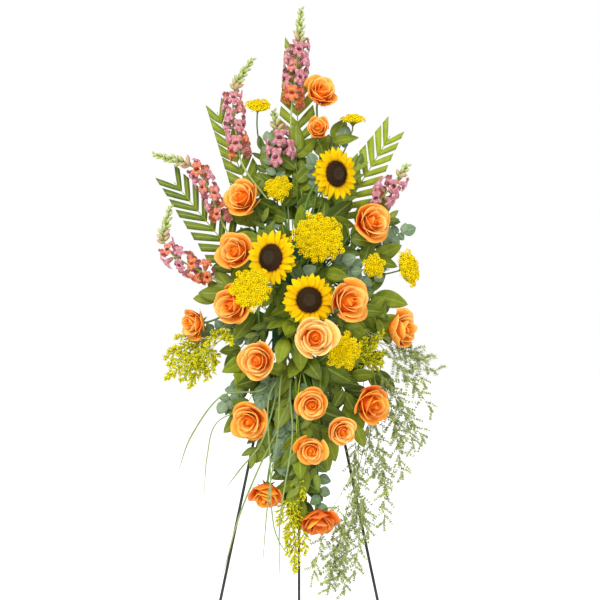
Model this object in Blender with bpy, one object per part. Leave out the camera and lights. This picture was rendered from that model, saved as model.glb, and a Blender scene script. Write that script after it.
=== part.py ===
"""Standing funeral spray: roses, sunflowers, yarrow, snapdragons and mixed foliage on a wire easel.

Every stem stands in a block of foam. The foam lies in a plastic cage, which hangs on the easel's head.
Metres, +Z up: the floor is z = 0, the spray faces -Y, and the origin is on the floor between the feet.
"""

import math
import random
from typing import NamedTuple

import bmesh
import bpy
from mathutils import Matrix, Vector
from mathutils.bvhtree import BVHTree

# Driving dimensions of the easel
WIRE = 0.0064
LEAN = math.radians(12.0)
FRONT_FEET_Y = -0.278
FRONT_FEET_APART = 0.546
SHOULDER_HEIGHT = 1.225
SHOULDERS_APART = 0.037
FRONT_TOP_HEIGHT = 1.30
BACK_LEG_OPENING = math.radians(14.0)
PIVOT_UP = 0.100
PIVOT_BEHIND = 0.020
PIN_RADIUS = 0.0030
EYE_HOLE_RADIUS = 0.0037

# Driving dimensions of the foam and its cage
FOAM_HEIGHT = 1.15
FOAM_WIDTH = 0.110
FOAM_TALL = 0.230
FOAM_DEEP = 0.076
CAGE_WALL = 0.0025
CAGE_RIM = 0.010
GAP = 0.0003
HOLE_GAP = 0.0004
STEM_DEPTH = 0.022

# The view that the places below are read in: 600 steps wide and high, one step is 2.1 mm on the spray
VIEW_STEP = 0.0021
VIEW_CENTRE_RIGHT = 299.0
VIEW_CENTRE_DOWN = 300.0
VIEW_PLANE_Y = -0.173
VIEW_DISTANCE = 5.0

# Sizes that the flowers and foliage share
ROSE_STEM = 0.0024
SUNFLOWER_STEM = 0.0032
THIN_STEM = 0.0017
STEM_SIDES = 5
LEAF_THICKNESS = 0.0014
TEST_MARGIN = 0.0012
SEED = 7

ACROSS = Vector((1.0, 0.0, 0.0))
UP = Vector((0.0, math.sin(LEAN), math.cos(LEAN)))
OUT = Vector((0.0, -math.cos(LEAN), math.sin(LEAN)))
TO_VIEWER = Vector((0.0, -1.0, 0.0))
DOWN = Vector((0.0, 0.0, -1.0))

TAKEN = {}
OWN = []


def easel_y(height):
    """Y of the easel's leaning front plane at a height."""
    return FRONT_FEET_Y + math.tan(LEAN) * height


BOARD_CENTRE = Vector((0.0, easel_y(FOAM_HEIGHT), FOAM_HEIGHT))


def on_board(across, up, out):
    """Point measured from the foam's middle: across, up along the lean, and out from the easel's plane."""
    return BOARD_CENTRE + ACROSS * across + UP * up + OUT * out


def seen_at(right, down, forward):
    """Point seen at (right, down) in the view, standing `forward` metres in front of the easel's plane."""
    scale = 1.0
    for _ in range(3):
        z = FOAM_HEIGHT + (VIEW_CENTRE_DOWN - down) * VIEW_STEP * scale
        y = easel_y(z) - forward
        scale = 1.0 + (y - VIEW_PLANE_Y) / VIEW_DISTANCE
    return Vector(((right - VIEW_CENTRE_RIGHT) * VIEW_STEP * scale, y, z))


def towards(turn, lift):
    """Unit vector to the viewer, turned to the right and lifted up, in degrees."""
    turn, lift = math.radians(turn), math.radians(lift)
    return Vector((math.sin(turn) * math.cos(lift), -math.cos(turn) * math.cos(lift), math.sin(lift)))


def aim(point, facing, spin=0.0):
    """Matrix that carries +Z to `facing` at `point`, with +Y as nearly upright as it can be."""
    z_axis = facing.normalized()
    guide = Vector((0.0, 0.0, 1.0)) if abs(z_axis.z) < 0.95 else Vector((0.0, 1.0, 0.0))
    x_axis = guide.cross(z_axis).normalized()
    y_axis = z_axis.cross(x_axis)
    turned = Matrix((x_axis, y_axis, z_axis)).transposed()
    return Matrix.Translation(point) @ turned.to_4x4() @ Matrix.Rotation(spin, 4, "Z")


# Solids, as points and faces


class Solid(NamedTuple):
    """Points and faces of one closed solid."""

    points: list
    faces: list

    def moved(self, matrix):
        return Solid([matrix @ point for point in self.points], self.faces)


def skin(rings, start_closed=True):
    """Closed solid through rings of points, counterclockwise seen from the last; one point is a tip."""
    points = [point for ring in rings for point in ring]
    faces = []
    start = 0
    for ring, following in zip(rings, rings[1:]):
        after = start + len(ring)
        for k in range(max(len(ring), len(following))):
            k_next = (k + 1) % max(len(ring), len(following))
            low = (start + k, start + k_next) if len(ring) > 1 else (start,)
            high = (after + k_next, after + k) if len(following) > 1 else (after,)
            faces.append(low + high)
        start = after
    if len(rings[0]) > 1 and start_closed:
        faces.append(tuple(reversed(range(len(rings[0])))))
    if len(rings[-1]) > 1:
        faces.append(tuple(range(len(points) - len(rings[-1]), len(points))))
    return Solid(points, faces)


def together(solids):
    """Points and faces of several solids as one, without joining them."""
    points, faces = [], []
    for solid in solids:
        faces += [tuple(index + len(points) for index in face) for face in solid.faces]
        points += solid.points
    return Solid(points, faces)


def sweep(path, sections, face, start_closed=True):
    """Closed solid whose sections (side, normal) follow a path; `face` starts the normal, without twist."""
    rings = []
    normal = face
    for index, (point, section) in enumerate(zip(path, sections)):
        ahead = (path[min(index + 1, len(path) - 1)] - path[max(index - 1, 0)]).normalized()
        normal = (normal - ahead * normal.dot(ahead)).normalized()
        side = normal.cross(ahead)
        rings.append([point + side * x + normal * y for x, y in section])
    return skin(rings, start_closed)


def circle(radius, sides):
    """Points round a circle; a radius of zero is one point."""
    if radius == 0.0:
        return [(0.0, 0.0)]
    turns = [math.tau * (k + 0.5) / sides for k in range(sides)]
    return [(radius * math.cos(turn), radius * math.sin(turn)) for turn in turns]


def tube(path, radii, sides=STEM_SIDES):
    """Round solid along a path, with one radius or one for each point."""
    if isinstance(radii, float):
        radii = [radii] * len(path)
    ahead = (path[1] - path[0]).normalized()
    face = ACROSS if abs(ahead.x) < 0.8 else UP
    return sweep(path, [circle(radius, sides) for radius in radii], face)


def block(low, high):
    """Box between two corners given as (across, up, out) on the leaning board."""
    ring = [(low[0], low[1]), (high[0], low[1]), (high[0], high[1]), (low[0], high[1])]
    return skin([[on_board(x, u, out) for x, u in ring] for out in (low[2], high[2])])


def plate(points, thickness, faces, face):
    """Closed solid on both sides of a sheet of faces, with a thickness for each point."""
    count = len(points)
    front = [point + face * (thick / 2) for point, thick in zip(points, thickness)]
    back = [point - face * (thick / 2) for point, thick in zip(points, thickness)]
    edges = {edge for ring in faces for edge in zip(ring, ring[1:] + ring[:1])}
    closed = list(faces) + [tuple(k + count for k in reversed(ring)) for ring in faces]
    for a, b in sorted(edges):
        if (b, a) not in edges:
            closed.append((b, a, a + count, b + count))
    return Solid(front + back, closed)


def smooth_path(knots, count):
    """`count` points along a smooth curve through the knots."""
    ends = [knots[0] * 2 - knots[1]] + list(knots) + [knots[-1] * 2 - knots[-2]]
    path = []
    for step in range(count):
        at = step / (count - 1) * (len(knots) - 1)
        leg = min(int(at), len(knots) - 2)
        t = at - leg
        a, b, c, d = ends[leg : leg + 4]
        square = (2 * a - 5 * b + 4 * c - d) * t**2
        cube = (3 * b - a - 3 * c + d) * t**3
        path.append(0.5 * (2 * b + (c - a) * t + square + cube))
    return path


def arc_path(start, start_pull, end, end_pull, count):
    """`count` points of the curve that leaves `start` along its pull and reaches `end` against its pull."""
    path = []
    for step in range(count):
        t = step / (count - 1)
        s = 1.0 - t
        near = start * s**3 + (start + start_pull) * 3 * s * s * t
        path.append(near + (end + end_pull) * 3 * s * t * t + end * t**3)
    return path


def points_along(path, distances):
    """Points at distances along a path from its start, each with the way ahead, which is to the start."""
    lengths = [0.0]
    for a, b in zip(path, path[1:]):
        lengths.append(lengths[-1] + (b - a).length)
    found = []
    for distance in distances:
        step = max(k for k in range(len(path) - 1) if lengths[k] <= distance)
        share = (distance - lengths[step]) / (lengths[step + 1] - lengths[step])
        found.append((path[step].lerp(path[step + 1], share), (path[step] - path[step + 1]).normalized()))
    return found


def with_stem(head, path, count):
    """Distances of a head's rows from a tip, then `count` more that lead evenly to the end of the path."""
    whole = sum((b - a).length for a, b in zip(path, path[1:])) - 1e-5
    return list(head) + [head[-1] + (whole - head[-1]) * (k + 1) / count for k in range(count)]


# Objects, finishes and clearances


def finish(name, colour, roughness, metallic=0.0):
    """Plain material of one colour."""
    material = bpy.data.materials.new(name)
    material.use_nodes = True
    shader = material.node_tree.nodes["Principled BSDF"]
    shader.inputs["Base Color"].default_value = (*colour, 1.0)
    shader.inputs["Roughness"].default_value = roughness
    shader.inputs["Metallic"].default_value = metallic
    return material


def new_object(name, solid, material=None):
    """Object that holds one solid, shaded smooth but for its sharp edges."""
    mesh = bpy.data.meshes.new(name)
    mesh.from_pydata([tuple(point) for point in solid.points], [], solid.faces)
    mesh.update()
    item = bpy.data.objects.new(name, mesh)
    bpy.context.scene.collection.objects.link(item)
    if material:
        mesh.materials.append(material)
    mesh.shade_smooth()
    mesh.set_sharp_from_angle(angle=math.radians(40.0))
    return item


def join(item, solids, operation="UNION", solver="EXACT"):
    """Joins solids to an object, or cuts them from it, by one Boolean, and leaves one plain mesh."""
    tools = bpy.data.collections.new("tools")
    bpy.context.scene.collection.children.link(tools)
    for index, solid in enumerate(solids):
        tool = new_object(f"tool_{index}", solid)
        bpy.context.scene.collection.objects.unlink(tool)
        tools.objects.link(tool)
    boolean = item.modifiers.new("join", "BOOLEAN")
    boolean.operation = operation
    boolean.operand_type = "COLLECTION"
    boolean.collection = tools
    boolean.solver = solver
    graph = bpy.context.evaluated_depsgraph_get()
    joined = bpy.data.meshes.new_from_object(item.evaluated_get(graph))
    item.modifiers.remove(boolean)
    item.data = joined
    for tool in list(tools.objects):
        bpy.data.objects.remove(tool)
    bpy.data.collections.remove(tools)
    keep_outer_body(joined)
    joined.shade_smooth()
    joined.set_sharp_from_angle(angle=math.radians(40.0))


def body_volume(faces):
    """Volume inside a closed set of faces, negative where they enclose a hollow."""
    total = 0.0
    for face in faces:
        corners = [vert.co for vert in face.verts]
        for a, b in zip(corners[1:], corners[2:]):
            total += corners[0].dot(a.cross(b)) / 6.0
    return total


def keep_outer_body(mesh):
    """Fills the hollows that a union has sealed and drops loose scraps: only the largest body stays."""
    work = bmesh.new()
    work.from_mesh(mesh)
    left = set(work.faces)
    bodies = []
    while left:
        body, edge_of_body = set(), [left.pop()]
        while edge_of_body:
            face = edge_of_body.pop()
            body.add(face)
            for edge in face.edges:
                for other in edge.link_faces:
                    if other in left:
                        left.remove(other)
                        edge_of_body.append(other)
        bodies.append(body)
    bodies.sort(key=body_volume)
    dropped = [face for body in bodies[:-1] for face in body]
    bmesh.ops.delete(work, geom=dropped, context="FACES")
    work.to_mesh(mesh)
    work.free()


def fused(name, solids, material):
    """One object of all the solids, joined into one body."""
    item = new_object(name, solids[0], material)
    if len(solids) > 1:
        join(item, solids[1:])
    take(name, item)
    return item


def tree_of(solid):
    return BVHTree.FromPolygons(solid.points, solid.faces)


def take(name, item):
    """Marks the space of a finished object, so that later pieces stay clear of it."""
    OWN.clear()
    points = [vertex.co.copy() for vertex in item.data.vertices]
    TAKEN[name] = BVHTree.FromPolygons(points, [tuple(face.vertices) for face in item.data.polygons])


def is_clear(solid, own=True):
    """True where a solid crosses no finished object and, with `own`, nothing of the object being made."""
    tree = tree_of(solid)
    others = list(TAKEN.values()) + (OWN if own else [])
    return not any(tree.overlap(other) for other in others)


def add(solids, solid):
    """Puts a solid in the list of an object being made and marks its space."""
    solids.append(solid)
    OWN.append(tree_of(solid))


# Where the stems stand in the foam


class Foot(NamedTuple):
    """A straight stem end in the foam: its place on the foam's face, the face's way out, its radius."""

    across: float
    up: float
    out: float
    way: Vector
    radius: float

    def mouth(self, beyond=0.0):
        return on_board(self.across, self.up, self.out) + self.way * beyond


SIDE = FOAM_WIDTH / 2
TALL = FOAM_TALL / 2
FOAM_BACK = 0.0064
FOAM_FRONT = FOAM_BACK + FOAM_DEEP
LEFT = -ACROSS

FEET = {
    "stems_top": Foot(0.014, TALL, 0.056, UP, 0.0070),
    "stems_upper_left": Foot(-SIDE, 0.078, 0.062, LEFT, 0.0055),
    "stems_upper_right": Foot(SIDE, 0.034, 0.058, ACROSS, 0.0055),
    "stems_centre": Foot(0.004, 0.0, FOAM_FRONT, OUT, 0.0080),
    "stems_left": Foot(-SIDE, -0.006, 0.060, LEFT, 0.0055),
    "stems_lower": Foot(0.0, -TALL, 0.056, -UP, 0.0090),
    "snapdragon_1": Foot(-0.006, TALL, 0.034, UP, 0.0030),
    "snapdragon_2": Foot(-0.042, TALL, 0.044, UP, 0.0030),
    "snapdragon_3": Foot(-0.022, TALL, 0.052, UP, 0.0030),
    "snapdragon_4": Foot(-SIDE, 0.076, 0.040, LEFT, 0.0030),
    "snapdragon_5": Foot(-SIDE, 0.024, 0.042, LEFT, 0.0030),
    "snapdragon_6": Foot(SIDE, 0.080, 0.034, ACROSS, 0.0030),
    "palm_top": Foot(-0.006, TALL, 0.020, UP, 0.0025),
    "palm_upper_left": Foot(-0.034, TALL, 0.020, UP, 0.0025),
    "palm_left": Foot(-SIDE, 0.030, 0.022, LEFT, 0.0025),
    "palm_right": Foot(0.034, TALL, 0.020, UP, 0.0025),
    "eucalyptus_right": Foot(0.040, TALL, 0.046, UP, 0.0035),
    "eucalyptus_left": Foot(-SIDE, -0.074, 0.044, LEFT, 0.0035),
    "solidago_left": Foot(-SIDE, -0.034, 0.036, LEFT, 0.0035),
    "solidago_lower": Foot(0.020, -TALL, 0.026, -UP, 0.0035),
    "asparagus_fern": Foot(SIDE, -0.078, 0.040, ACROSS, 0.0035),
    "bear_grass": Foot(-0.034, -TALL, 0.040, -UP, 0.0045),
}
FOOT_SIDES = 5
PLUG_FIT = 0.85


def plug(foot, beyond):
    """The straight end of a stem, from inside the foam to a little way outside it."""
    return tube([foot.mouth(-STEM_DEPTH), foot.mouth(beyond)], foot.radius, FOOT_SIDES)


def hole(foot):
    """Cutter of the plain hole that a stem end stands in."""
    path = [foot.mouth(-STEM_DEPTH - HOLE_GAP), foot.mouth(HOLE_GAP * 4)]
    return tube(path, foot.radius + HOLE_GAP, FOOT_SIDES)


# The easel


def cut_at_floor(solid, ring_size):
    """Slides the first ring of a leg along the leg until it lies flat on the floor."""
    points = list(solid.points)
    for k in range(ring_size):
        along = points[k + ring_size] - points[k]
        points[k] = points[k] - along * (points[k].z / along.z)
    return Solid(points, solid.faces)


LEG_SIDES = 8


def easel_front_leg(name, side, material):
    """One front leg: straight up from its foot to the shoulder, then parallel to its twin."""
    foot = Vector((side * FRONT_FEET_APART / 2, FRONT_FEET_Y, 0.0))
    shoulder = Vector((side * SHOULDERS_APART / 2, easel_y(SHOULDER_HEIGHT), SHOULDER_HEIGHT))
    top = Vector((side * SHOULDERS_APART / 2, easel_y(FRONT_TOP_HEIGHT), FRONT_TOP_HEIGHT))
    leg = tube([foot, shoulder, top], WIRE / 2, LEG_SIDES)
    item = new_object(name, cut_at_floor(leg, LEG_SIDES), material)
    take(name, item)


PLATE_FRONT = -WIRE / 2 - GAP
PLATE_THICK = 0.0025
PLATE_WIDE = 0.050
PLATE_BELOW_PIVOT = 0.016
PLATE_ABOVE_PIVOT = 0.036
EAR_THICK = 0.0025
EYE_WIDTH = 0.0060
EAR_HALF_TALL = 0.006
HOOK_UP = 0.1285
HOOK_WIRE = 0.0022
HOOK_REACH = 0.0115
HOOK_BEND = 0.002
HOOK_TALL = 0.012
EYE_SIDES = 14
EYE_WALL = 0.0032
WIRE_IN_EYE = 0.0012
TAIL_IN_EYE = 0.0008
TAIL_RADIUS = 0.0024


def easel_head(material):
    """Plate behind the front legs, with two ears, the pivot pin and the hook for the cage."""
    plate_back = PLATE_FRONT - PLATE_THICK
    low = (-PLATE_WIDE / 2, PIVOT_UP - PLATE_BELOW_PIVOT, plate_back)
    high = (PLATE_WIDE / 2, PIVOT_UP + PLATE_ABOVE_PIVOT, PLATE_FRONT)
    solids = [block(low, high)]
    inner = EYE_WIDTH / 2 + GAP
    for side in (-1, 1):
        near, far = sorted((side * inner, side * (inner + EAR_THICK)))
        ear_low = (near, PIVOT_UP - EAR_HALF_TALL, -PIVOT_BEHIND - EAR_HALF_TALL)
        ear_high = (far, PIVOT_UP + EAR_HALF_TALL, plate_back + PLATE_THICK / 2)
        solids.append(block(ear_low, ear_high))
    pin_half = inner + EAR_THICK / 2
    pin_ends = [on_board(side * pin_half, PIVOT_UP, -PIVOT_BEHIND) for side in (-1, 1)]
    solids.append(tube(pin_ends, PIN_RADIUS, 12))
    hook = [
        on_board(0.0, HOOK_UP, PLATE_FRONT - PLATE_THICK / 2),
        on_board(0.0, HOOK_UP, HOOK_REACH),
        on_board(0.0, HOOK_UP + HOOK_BEND * 1.5, HOOK_REACH + HOOK_BEND),
        on_board(0.0, HOOK_UP + HOOK_TALL, HOOK_REACH + HOOK_BEND),
    ]
    solids.append(tube(hook, HOOK_WIRE, 6))
    fused("easel_head", solids, material)


def easel_back_leg(material):
    """Rear leg: an eye round the pivot pin, a short tail that bears on the plate, and the long wire."""
    pivot = on_board(0.0, PIVOT_UP, -PIVOT_BEHIND)
    leg_way = Vector((0.0, math.sin(BACK_LEG_OPENING), -math.cos(BACK_LEG_OPENING)))
    foot = pivot + leg_way * (pivot.z / -leg_way.z)
    start = pivot + leg_way * (EYE_HOLE_RADIUS + WIRE_IN_EYE)
    leg = cut_at_floor(tube([foot, start], WIRE / 2, LEG_SIDES), LEG_SIDES)
    lean_back = BACK_LEG_OPENING + LEAN
    plate_back = PLATE_FRONT - PLATE_THICK
    free = plate_back - GAP + PIVOT_BEHIND - TAIL_RADIUS * math.cos(lean_back)
    tail = [pivot - leg_way * (EYE_HOLE_RADIUS + TAIL_IN_EYE), pivot - leg_way * (free / math.sin(lean_back))]
    eye_ends = [pivot + ACROSS * (EYE_WIDTH / 2 * side) for side in (-1, 1)]
    item = new_object("easel_back_leg", tube(eye_ends, EYE_HOLE_RADIUS + EYE_WALL, EYE_SIDES), material)
    join(item, [leg, tube(tail, TAIL_RADIUS, LEG_SIDES)])
    long_ends = [pivot + ACROSS * (EYE_WIDTH * side) for side in (-1, 1)]
    join(item, [tube(long_ends, EYE_HOLE_RADIUS, EYE_SIDES)], "DIFFERENCE")
    hinge = bpy.data.objects.new("back_leg_hinge", None)
    hinge.location = pivot
    bpy.context.scene.collection.objects.link(hinge)
    take("easel_back_leg", item)
    item.data.transform(Matrix.Translation(-pivot))
    item.parent = hinge


# The foam and its cage


STRAP_WIDTH = 0.006
STRAP_THICK = 0.002
STRAP_UP = 0.052
TONGUE_WIDTH = 0.024
TONGUE_TOP = 0.140
SLOT_WIDTH = 0.009
SLOT_TALL = 0.0056


def cage_strap(up):
    """Strap that runs over the front of the foam from one edge of the tray to the other."""
    low, high = up - STRAP_WIDTH / 2, up + STRAP_WIDTH / 2
    inner = SIDE + GAP
    outer = inner + STRAP_THICK
    front = FOAM_FRONT + GAP
    rooted = FOAM_BACK - GAP - CAGE_WALL / 3
    left_side = block((-outer, low, rooted), (-inner, high, front + STRAP_THICK))
    right_side = block((inner, low, rooted), (outer, high, front + STRAP_THICK))
    bar = block((-outer, low, front), (outer, high, front + STRAP_THICK))
    return [left_side, right_side, bar]


def foam_cage(material):
    """Tray behind the foam with a low rim, two straps over the foam and a tongue that hangs on the hook."""
    back = WIRE / 2 + GAP
    floor = FOAM_BACK - GAP
    inner_side = SIDE + GAP
    inner_tall = TALL + GAP
    side = inner_side + CAGE_WALL
    tall = inner_tall + CAGE_WALL
    rim = floor + CAGE_RIM
    solids = [block((-side, -tall, back), (side, tall, floor))]
    solids.append(block((-side, -tall, back), (-inner_side, tall, rim)))
    solids.append(block((inner_side, -tall, back), (side, tall, rim)))
    solids.append(block((-side, -tall, back), (side, -inner_tall, rim)))
    solids.append(block((-side, inner_tall, back), (side, tall, rim)))
    solids.append(block((-TONGUE_WIDTH / 2, TALL, back), (TONGUE_WIDTH / 2, TONGUE_TOP, floor)))
    for strap_up in (-STRAP_UP, STRAP_UP):
        solids.extend(cage_strap(strap_up))
    item = new_object("foam_cage", solids[0], material)
    join(item, solids[1:], solver="MANIFOLD")
    slot_top = HOOK_UP + HOOK_WIRE + GAP
    slot_low = (-SLOT_WIDTH / 2, slot_top - SLOT_TALL, back - CAGE_WALL)
    slot = block(slot_low, (SLOT_WIDTH / 2, slot_top, floor + CAGE_WALL))
    join(item, [slot], "DIFFERENCE", "MANIFOLD")
    take("foam_cage", item)


def foam_block(material):
    """Block of foam with a plain hole for every stem end."""
    solid = block((-SIDE, -TALL, FOAM_BACK), (SIDE, TALL, FOAM_FRONT))
    item = new_object("foam_block", solid, material)
    take("foam_block", item)
    join(item, [hole(foot) for foot in FEET.values()], "DIFFERENCE")


# Blooms: where each is seen, how far forward, how wide, and which way it faces


class Bloom(NamedTuple):
    stems: str
    right: float
    down: float
    forward: float
    width: float
    turn: float
    lift: float

    def facing(self):
        return towards(self.turn, self.lift)

    def place(self, height):
        """Matrix of the bloom, whose point seen at (right, down) is `height` above its base."""
        centre = seen_at(self.right, self.down, self.forward)
        return aim(centre - self.facing() * height, self.facing(), spin=self.right + self.down)


ROSES = {
    "rose_01": Bloom("stems_top", 322, 90, 0.085, 0.084, 18, 32),
    "rose_02": Bloom("stems_top", 318, 128, 0.095, 0.070, -6, 24),
    "rose_03": Bloom("stems_upper_left", 241, 197, 0.100, 0.094, -28, 14),
    "rose_04": Bloom("stems_upper_left", 234, 251, 0.120, 0.090, -24, 10),
    "rose_05": Bloom("stems_upper_right", 374, 221, 0.110, 0.098, 32, 12),
    "rose_06": Bloom("stems_left", 230, 305, 0.095, 0.094, -34, 2),
    "rose_07": Bloom("stems_left", 191, 324, 0.060, 0.074, -52, -4),
    "rose_08": Bloom("stems_centre", 351, 301, 0.205, 0.102, 30, 4),
    "rose_09": Bloom("stems_centre", 315, 338, 0.245, 0.098, 4, 0),
    "rose_10": Bloom("stems_upper_right", 405, 329, 0.070, 0.094, 58, 4),
    "rose_11": Bloom("stems_left", 257, 361, 0.125, 0.091, -16, -4),
    "rose_12": Bloom("stems_lower", 312, 405, 0.135, 0.076, 2, -6),
    "rose_13": Bloom("stems_lower", 374, 406, 0.095, 0.096, 36, -10),
    "rose_14": Bloom("stems_lower", 343, 432, 0.105, 0.068, 14, -10),
    "rose_15": Bloom("stems_lower", 248, 422, 0.095, 0.089, -20, -14),
    "rose_16": Bloom("stems_lower", 311, 451, 0.100, 0.072, 0, -14),
    "rose_17": Bloom("stems_lower", 266, 498, 0.055, 0.082, -8, -58),
    "rose_18": Bloom("stems_lower", 319, 525, 0.055, 0.084, 14, -52),
}

SUNFLOWERS = {
    "sunflower_1": Bloom("stems_top", 335, 174, 0.142, 0.118, 38, 2),
    "sunflower_2": Bloom("stems_centre", 272, 258, 0.178, 0.124, -34, 4),
    "sunflower_3": Bloom("stems_centre", 309, 300, 0.185, 0.114, 2, 2),
}

YARROWS = {
    "yarrow_1": Bloom("stems_top", 258, 106, 0.080, 0.056, 10, 60),
    "yarrow_2": Bloom("stems_top", 353, 120, 0.055, 0.052, 10, 76),
    "yarrow_3": Bloom("stems_upper_left", 278, 188, 0.095, 0.062, -4, 30),
    "yarrow_4": Bloom("stems_centre", 318, 238, 0.150, 0.116, 8, 16),
    "yarrow_5": Bloom("stems_centre", 251, 289, 0.198, 0.090, -14, 2),
    "yarrow_6": Bloom("stems_upper_right", 374, 266, 0.100, 0.052, 22, 8),
    "yarrow_7": Bloom("stems_upper_right", 408, 268, 0.060, 0.082, 58, 14),
    "yarrow_8": Bloom("stems_centre", 344, 351, 0.165, 0.078, 18, -10),
}

ROSE_COLUMNS = 15
ROSE_PETALS = 5
ROSE_MIDDLE = 0.35
# Height and radius as shares of the width, the step between petal edges, and the turn of the layer
ROSE_LAYERS = (
    (0.00, 0.085, 0.00, 0),
    (0.16, 0.360, 0.03, 0),
    (0.38, 0.490, 0.09, 0),
    (0.36, 0.350, 0.05, 1),
    (0.55, 0.320, 0.11, 1),
    (0.46, 0.190, 0.05, 2),
    (0.61, 0.160, 0.10, 2),
)
ROSE_TIP = 0.50


def rose_head(name, bloom, material):
    """Open rose raised from one surface: three layers of five lapping petals round a closed heart."""
    rings = []
    columns_of_petal = ROSE_COLUMNS // ROSE_PETALS
    for height, radius, step, turn in ROSE_LAYERS:
        ring = []
        for k in range(ROSE_COLUMNS):
            along_petal = ((k + turn) % columns_of_petal) / (columns_of_petal - 1) * 2 - 1
            reach = bloom.width * (radius + step * 0.5 * along_petal * radius / 0.3)
            rise = bloom.width * (height - step * 0.35 * along_petal**2)
            angle = math.tau * (k + 0.3 * turn) / ROSE_COLUMNS
            ring.append(Vector((reach * math.cos(angle), reach * math.sin(angle), rise)))
        rings.append(ring)
    rings.append([Vector((0.0, 0.0, bloom.width * ROSE_TIP))])
    item = new_object(name, skin(rings).moved(bloom.place(bloom.width * ROSE_MIDDLE)), material)
    take(name, item)


RAYS = 13
SUNFLOWER_DISC = 0.50
# Points of a front ray and of a back ray: share of the radius, share of the step aside, and rise in metres
FRONT_RAY = ((0.50, -0.62, -0.0006), (0.72, -0.80, 0.0006), (1.00, 0.0, 0.0030), (0.72, 0.80, 0.0006))
FRONT_RIDGE = (0.68, 0.0020, -0.0008)
BACK_RAY_TIP = (0.96, -0.0060)
BACK_RIDGE = (0.70, -0.0020, -0.0044)
HUB_HALF = 0.0030
# Share of the disc's radius, rise in metres and height of the seeds' relief
DISC_RINGS = ((0.86, 0.0, 0.0), (1.0, 0.005, 0.0), (0.80, 0.010, 0.0012), (0.48, 0.0085, 0.0012))
DISC_HOLLOW = 0.0065
DISC_COLUMNS = 14


def sunflower_rays(radius):
    """Star of two layers of pointed rays: wide ones in front, and the back ones between them."""
    step = math.pi / RAYS

    def at(share, angle, rise):
        return Vector((radius * share * math.cos(angle), radius * share * math.sin(angle), rise))

    points = [Vector((0.0, 0.0, HUB_HALF)), Vector((0.0, 0.0, -HUB_HALF))]
    faces = []
    for k in range(RAYS):
        angle = 2 * step * k
        points += [at(share, angle + step * aside, rise) for share, aside, rise in FRONT_RAY]
        points += [at(FRONT_RIDGE[0], angle, rise) for rise in FRONT_RIDGE[1:]]
        points.append(at(BACK_RAY_TIP[0], angle + step, BACK_RAY_TIP[1]))
        points += [at(BACK_RIDGE[0], angle + step, rise) for rise in BACK_RIDGE[1:]]
        points.append(at(FRONT_RAY[0][0], angle - step * FRONT_RAY[0][1], FRONT_RAY[0][2]))
    row = 10
    for k in range(RAYS):
        first = 2 + row * k
        notch, left, tip, right, front, back, low_tip, low_front, low_back, after = range(first, first + row)
        following = 2 + row * ((k + 1) % RAYS)
        front_ray = ((notch, left, tip, right, after), front, back)
        back_ray = ((after, low_tip, following), low_front, low_back)
        for rim, over, under in (front_ray, back_ray):
            for a, b in zip(rim, rim[1:]):
                faces.append((a, b, over))
                faces.append((b, a, under))
            faces.append((0, rim[0], over))
            faces.append((0, over, rim[-1]))
            faces.append((1, under, rim[0]))
            faces.append((1, rim[-1], under))
    return Solid(points, faces)


def sunflower(name, bloom, ray_material, disc_material):
    """Sunflower: two layers of rays in one node, and the seed disc seated in front of them in another."""
    radius = bloom.width / 2
    place = bloom.place(0.0)
    item = new_object(f"{name}_rays", sunflower_rays(radius).moved(place), ray_material)
    take(f"{name}_rays", item)
    seat = HUB_HALF + GAP
    disc = radius * SUNFLOWER_DISC
    rings = []
    for share, rise, relief in DISC_RINGS:
        ring = []
        for k in range(DISC_COLUMNS):
            angle = math.tau * k / DISC_COLUMNS
            height = seat + rise + relief * (-1) ** k
            ring.append(Vector((disc * share * math.cos(angle), disc * share * math.sin(angle), height)))
        rings.append(ring)
    rings.append([Vector((0.0, 0.0, seat + DISC_HOLLOW))])
    item = new_object(f"{name}_disc", skin(rings).moved(place), disc_material)
    take(f"{name}_disc", item)


# Height and radius as shares of the width, the lobes' share of the radius, and the florets' relief
YARROW_RINGS = (
    (0.00, 0.050, 0.00, 0.000),
    (0.20, 0.380, 0.06, 0.020),
    (0.32, 0.490, 0.10, 0.036),
    (0.40, 0.390, 0.08, 0.046),
    (0.43, 0.260, 0.04, 0.050),
    (0.44, 0.130, 0.00, 0.044),
)
YARROW_TIP = 0.49
YARROW_MIDDLE = 0.30
YARROW_COLUMNS = 12
YARROW_LOBES = 5


def yarrow_head(name, bloom, material):
    """Flat-topped cluster of florets: a lobed dome whose whole top is raised in alternate knobs."""
    rings = []
    for row, (height, radius, lobe, relief) in enumerate(YARROW_RINGS):
        ring = []
        for k in range(YARROW_COLUMNS):
            angle = math.tau * k / YARROW_COLUMNS
            bump = relief * (-1) ** (k + row)
            reach = bloom.width * (radius * (1.0 + lobe * math.cos(YARROW_LOBES * angle)) + bump * 0.5)
            rise = bloom.width * (height + bump)
            ring.append(Vector((reach * math.cos(angle), reach * math.sin(angle), rise)))
        rings.append(ring)
    rings.append([Vector((0.0, 0.0, bloom.width * YARROW_TIP))])
    item = new_object(name, skin(rings).moved(bloom.place(bloom.width * YARROW_MIDDLE)), material)
    take(name, item)


# Leaves


def keel(half_width, thickness):
    """Flat three-cornered section with a ridge in front."""
    if half_width == 0.0:
        return [(0.0, 0.0)]
    return [(half_width, -thickness / 2), (0.0, thickness / 2), (-half_width, -thickness / 2)]


def leaf_stations(root, way, face, length, shape, arch):
    """Points and sections of a leaf: `shape` lists shares of the length and half widths over the length."""
    path = [root + way * (length * share) - face * (length * arch * share * share) for share, _ in shape]
    sections = [keel(length * half, LEAF_THICKNESS) for _, half in shape]
    return path, sections


SALAL = ((0.30, 0.26), (0.66, 0.26), (1.0, 0.0))
ROUND = ((0.34, 0.42), (0.74, 0.38), (1.0, 0.0))
LEAF_ROOT = 0.0012


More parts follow.
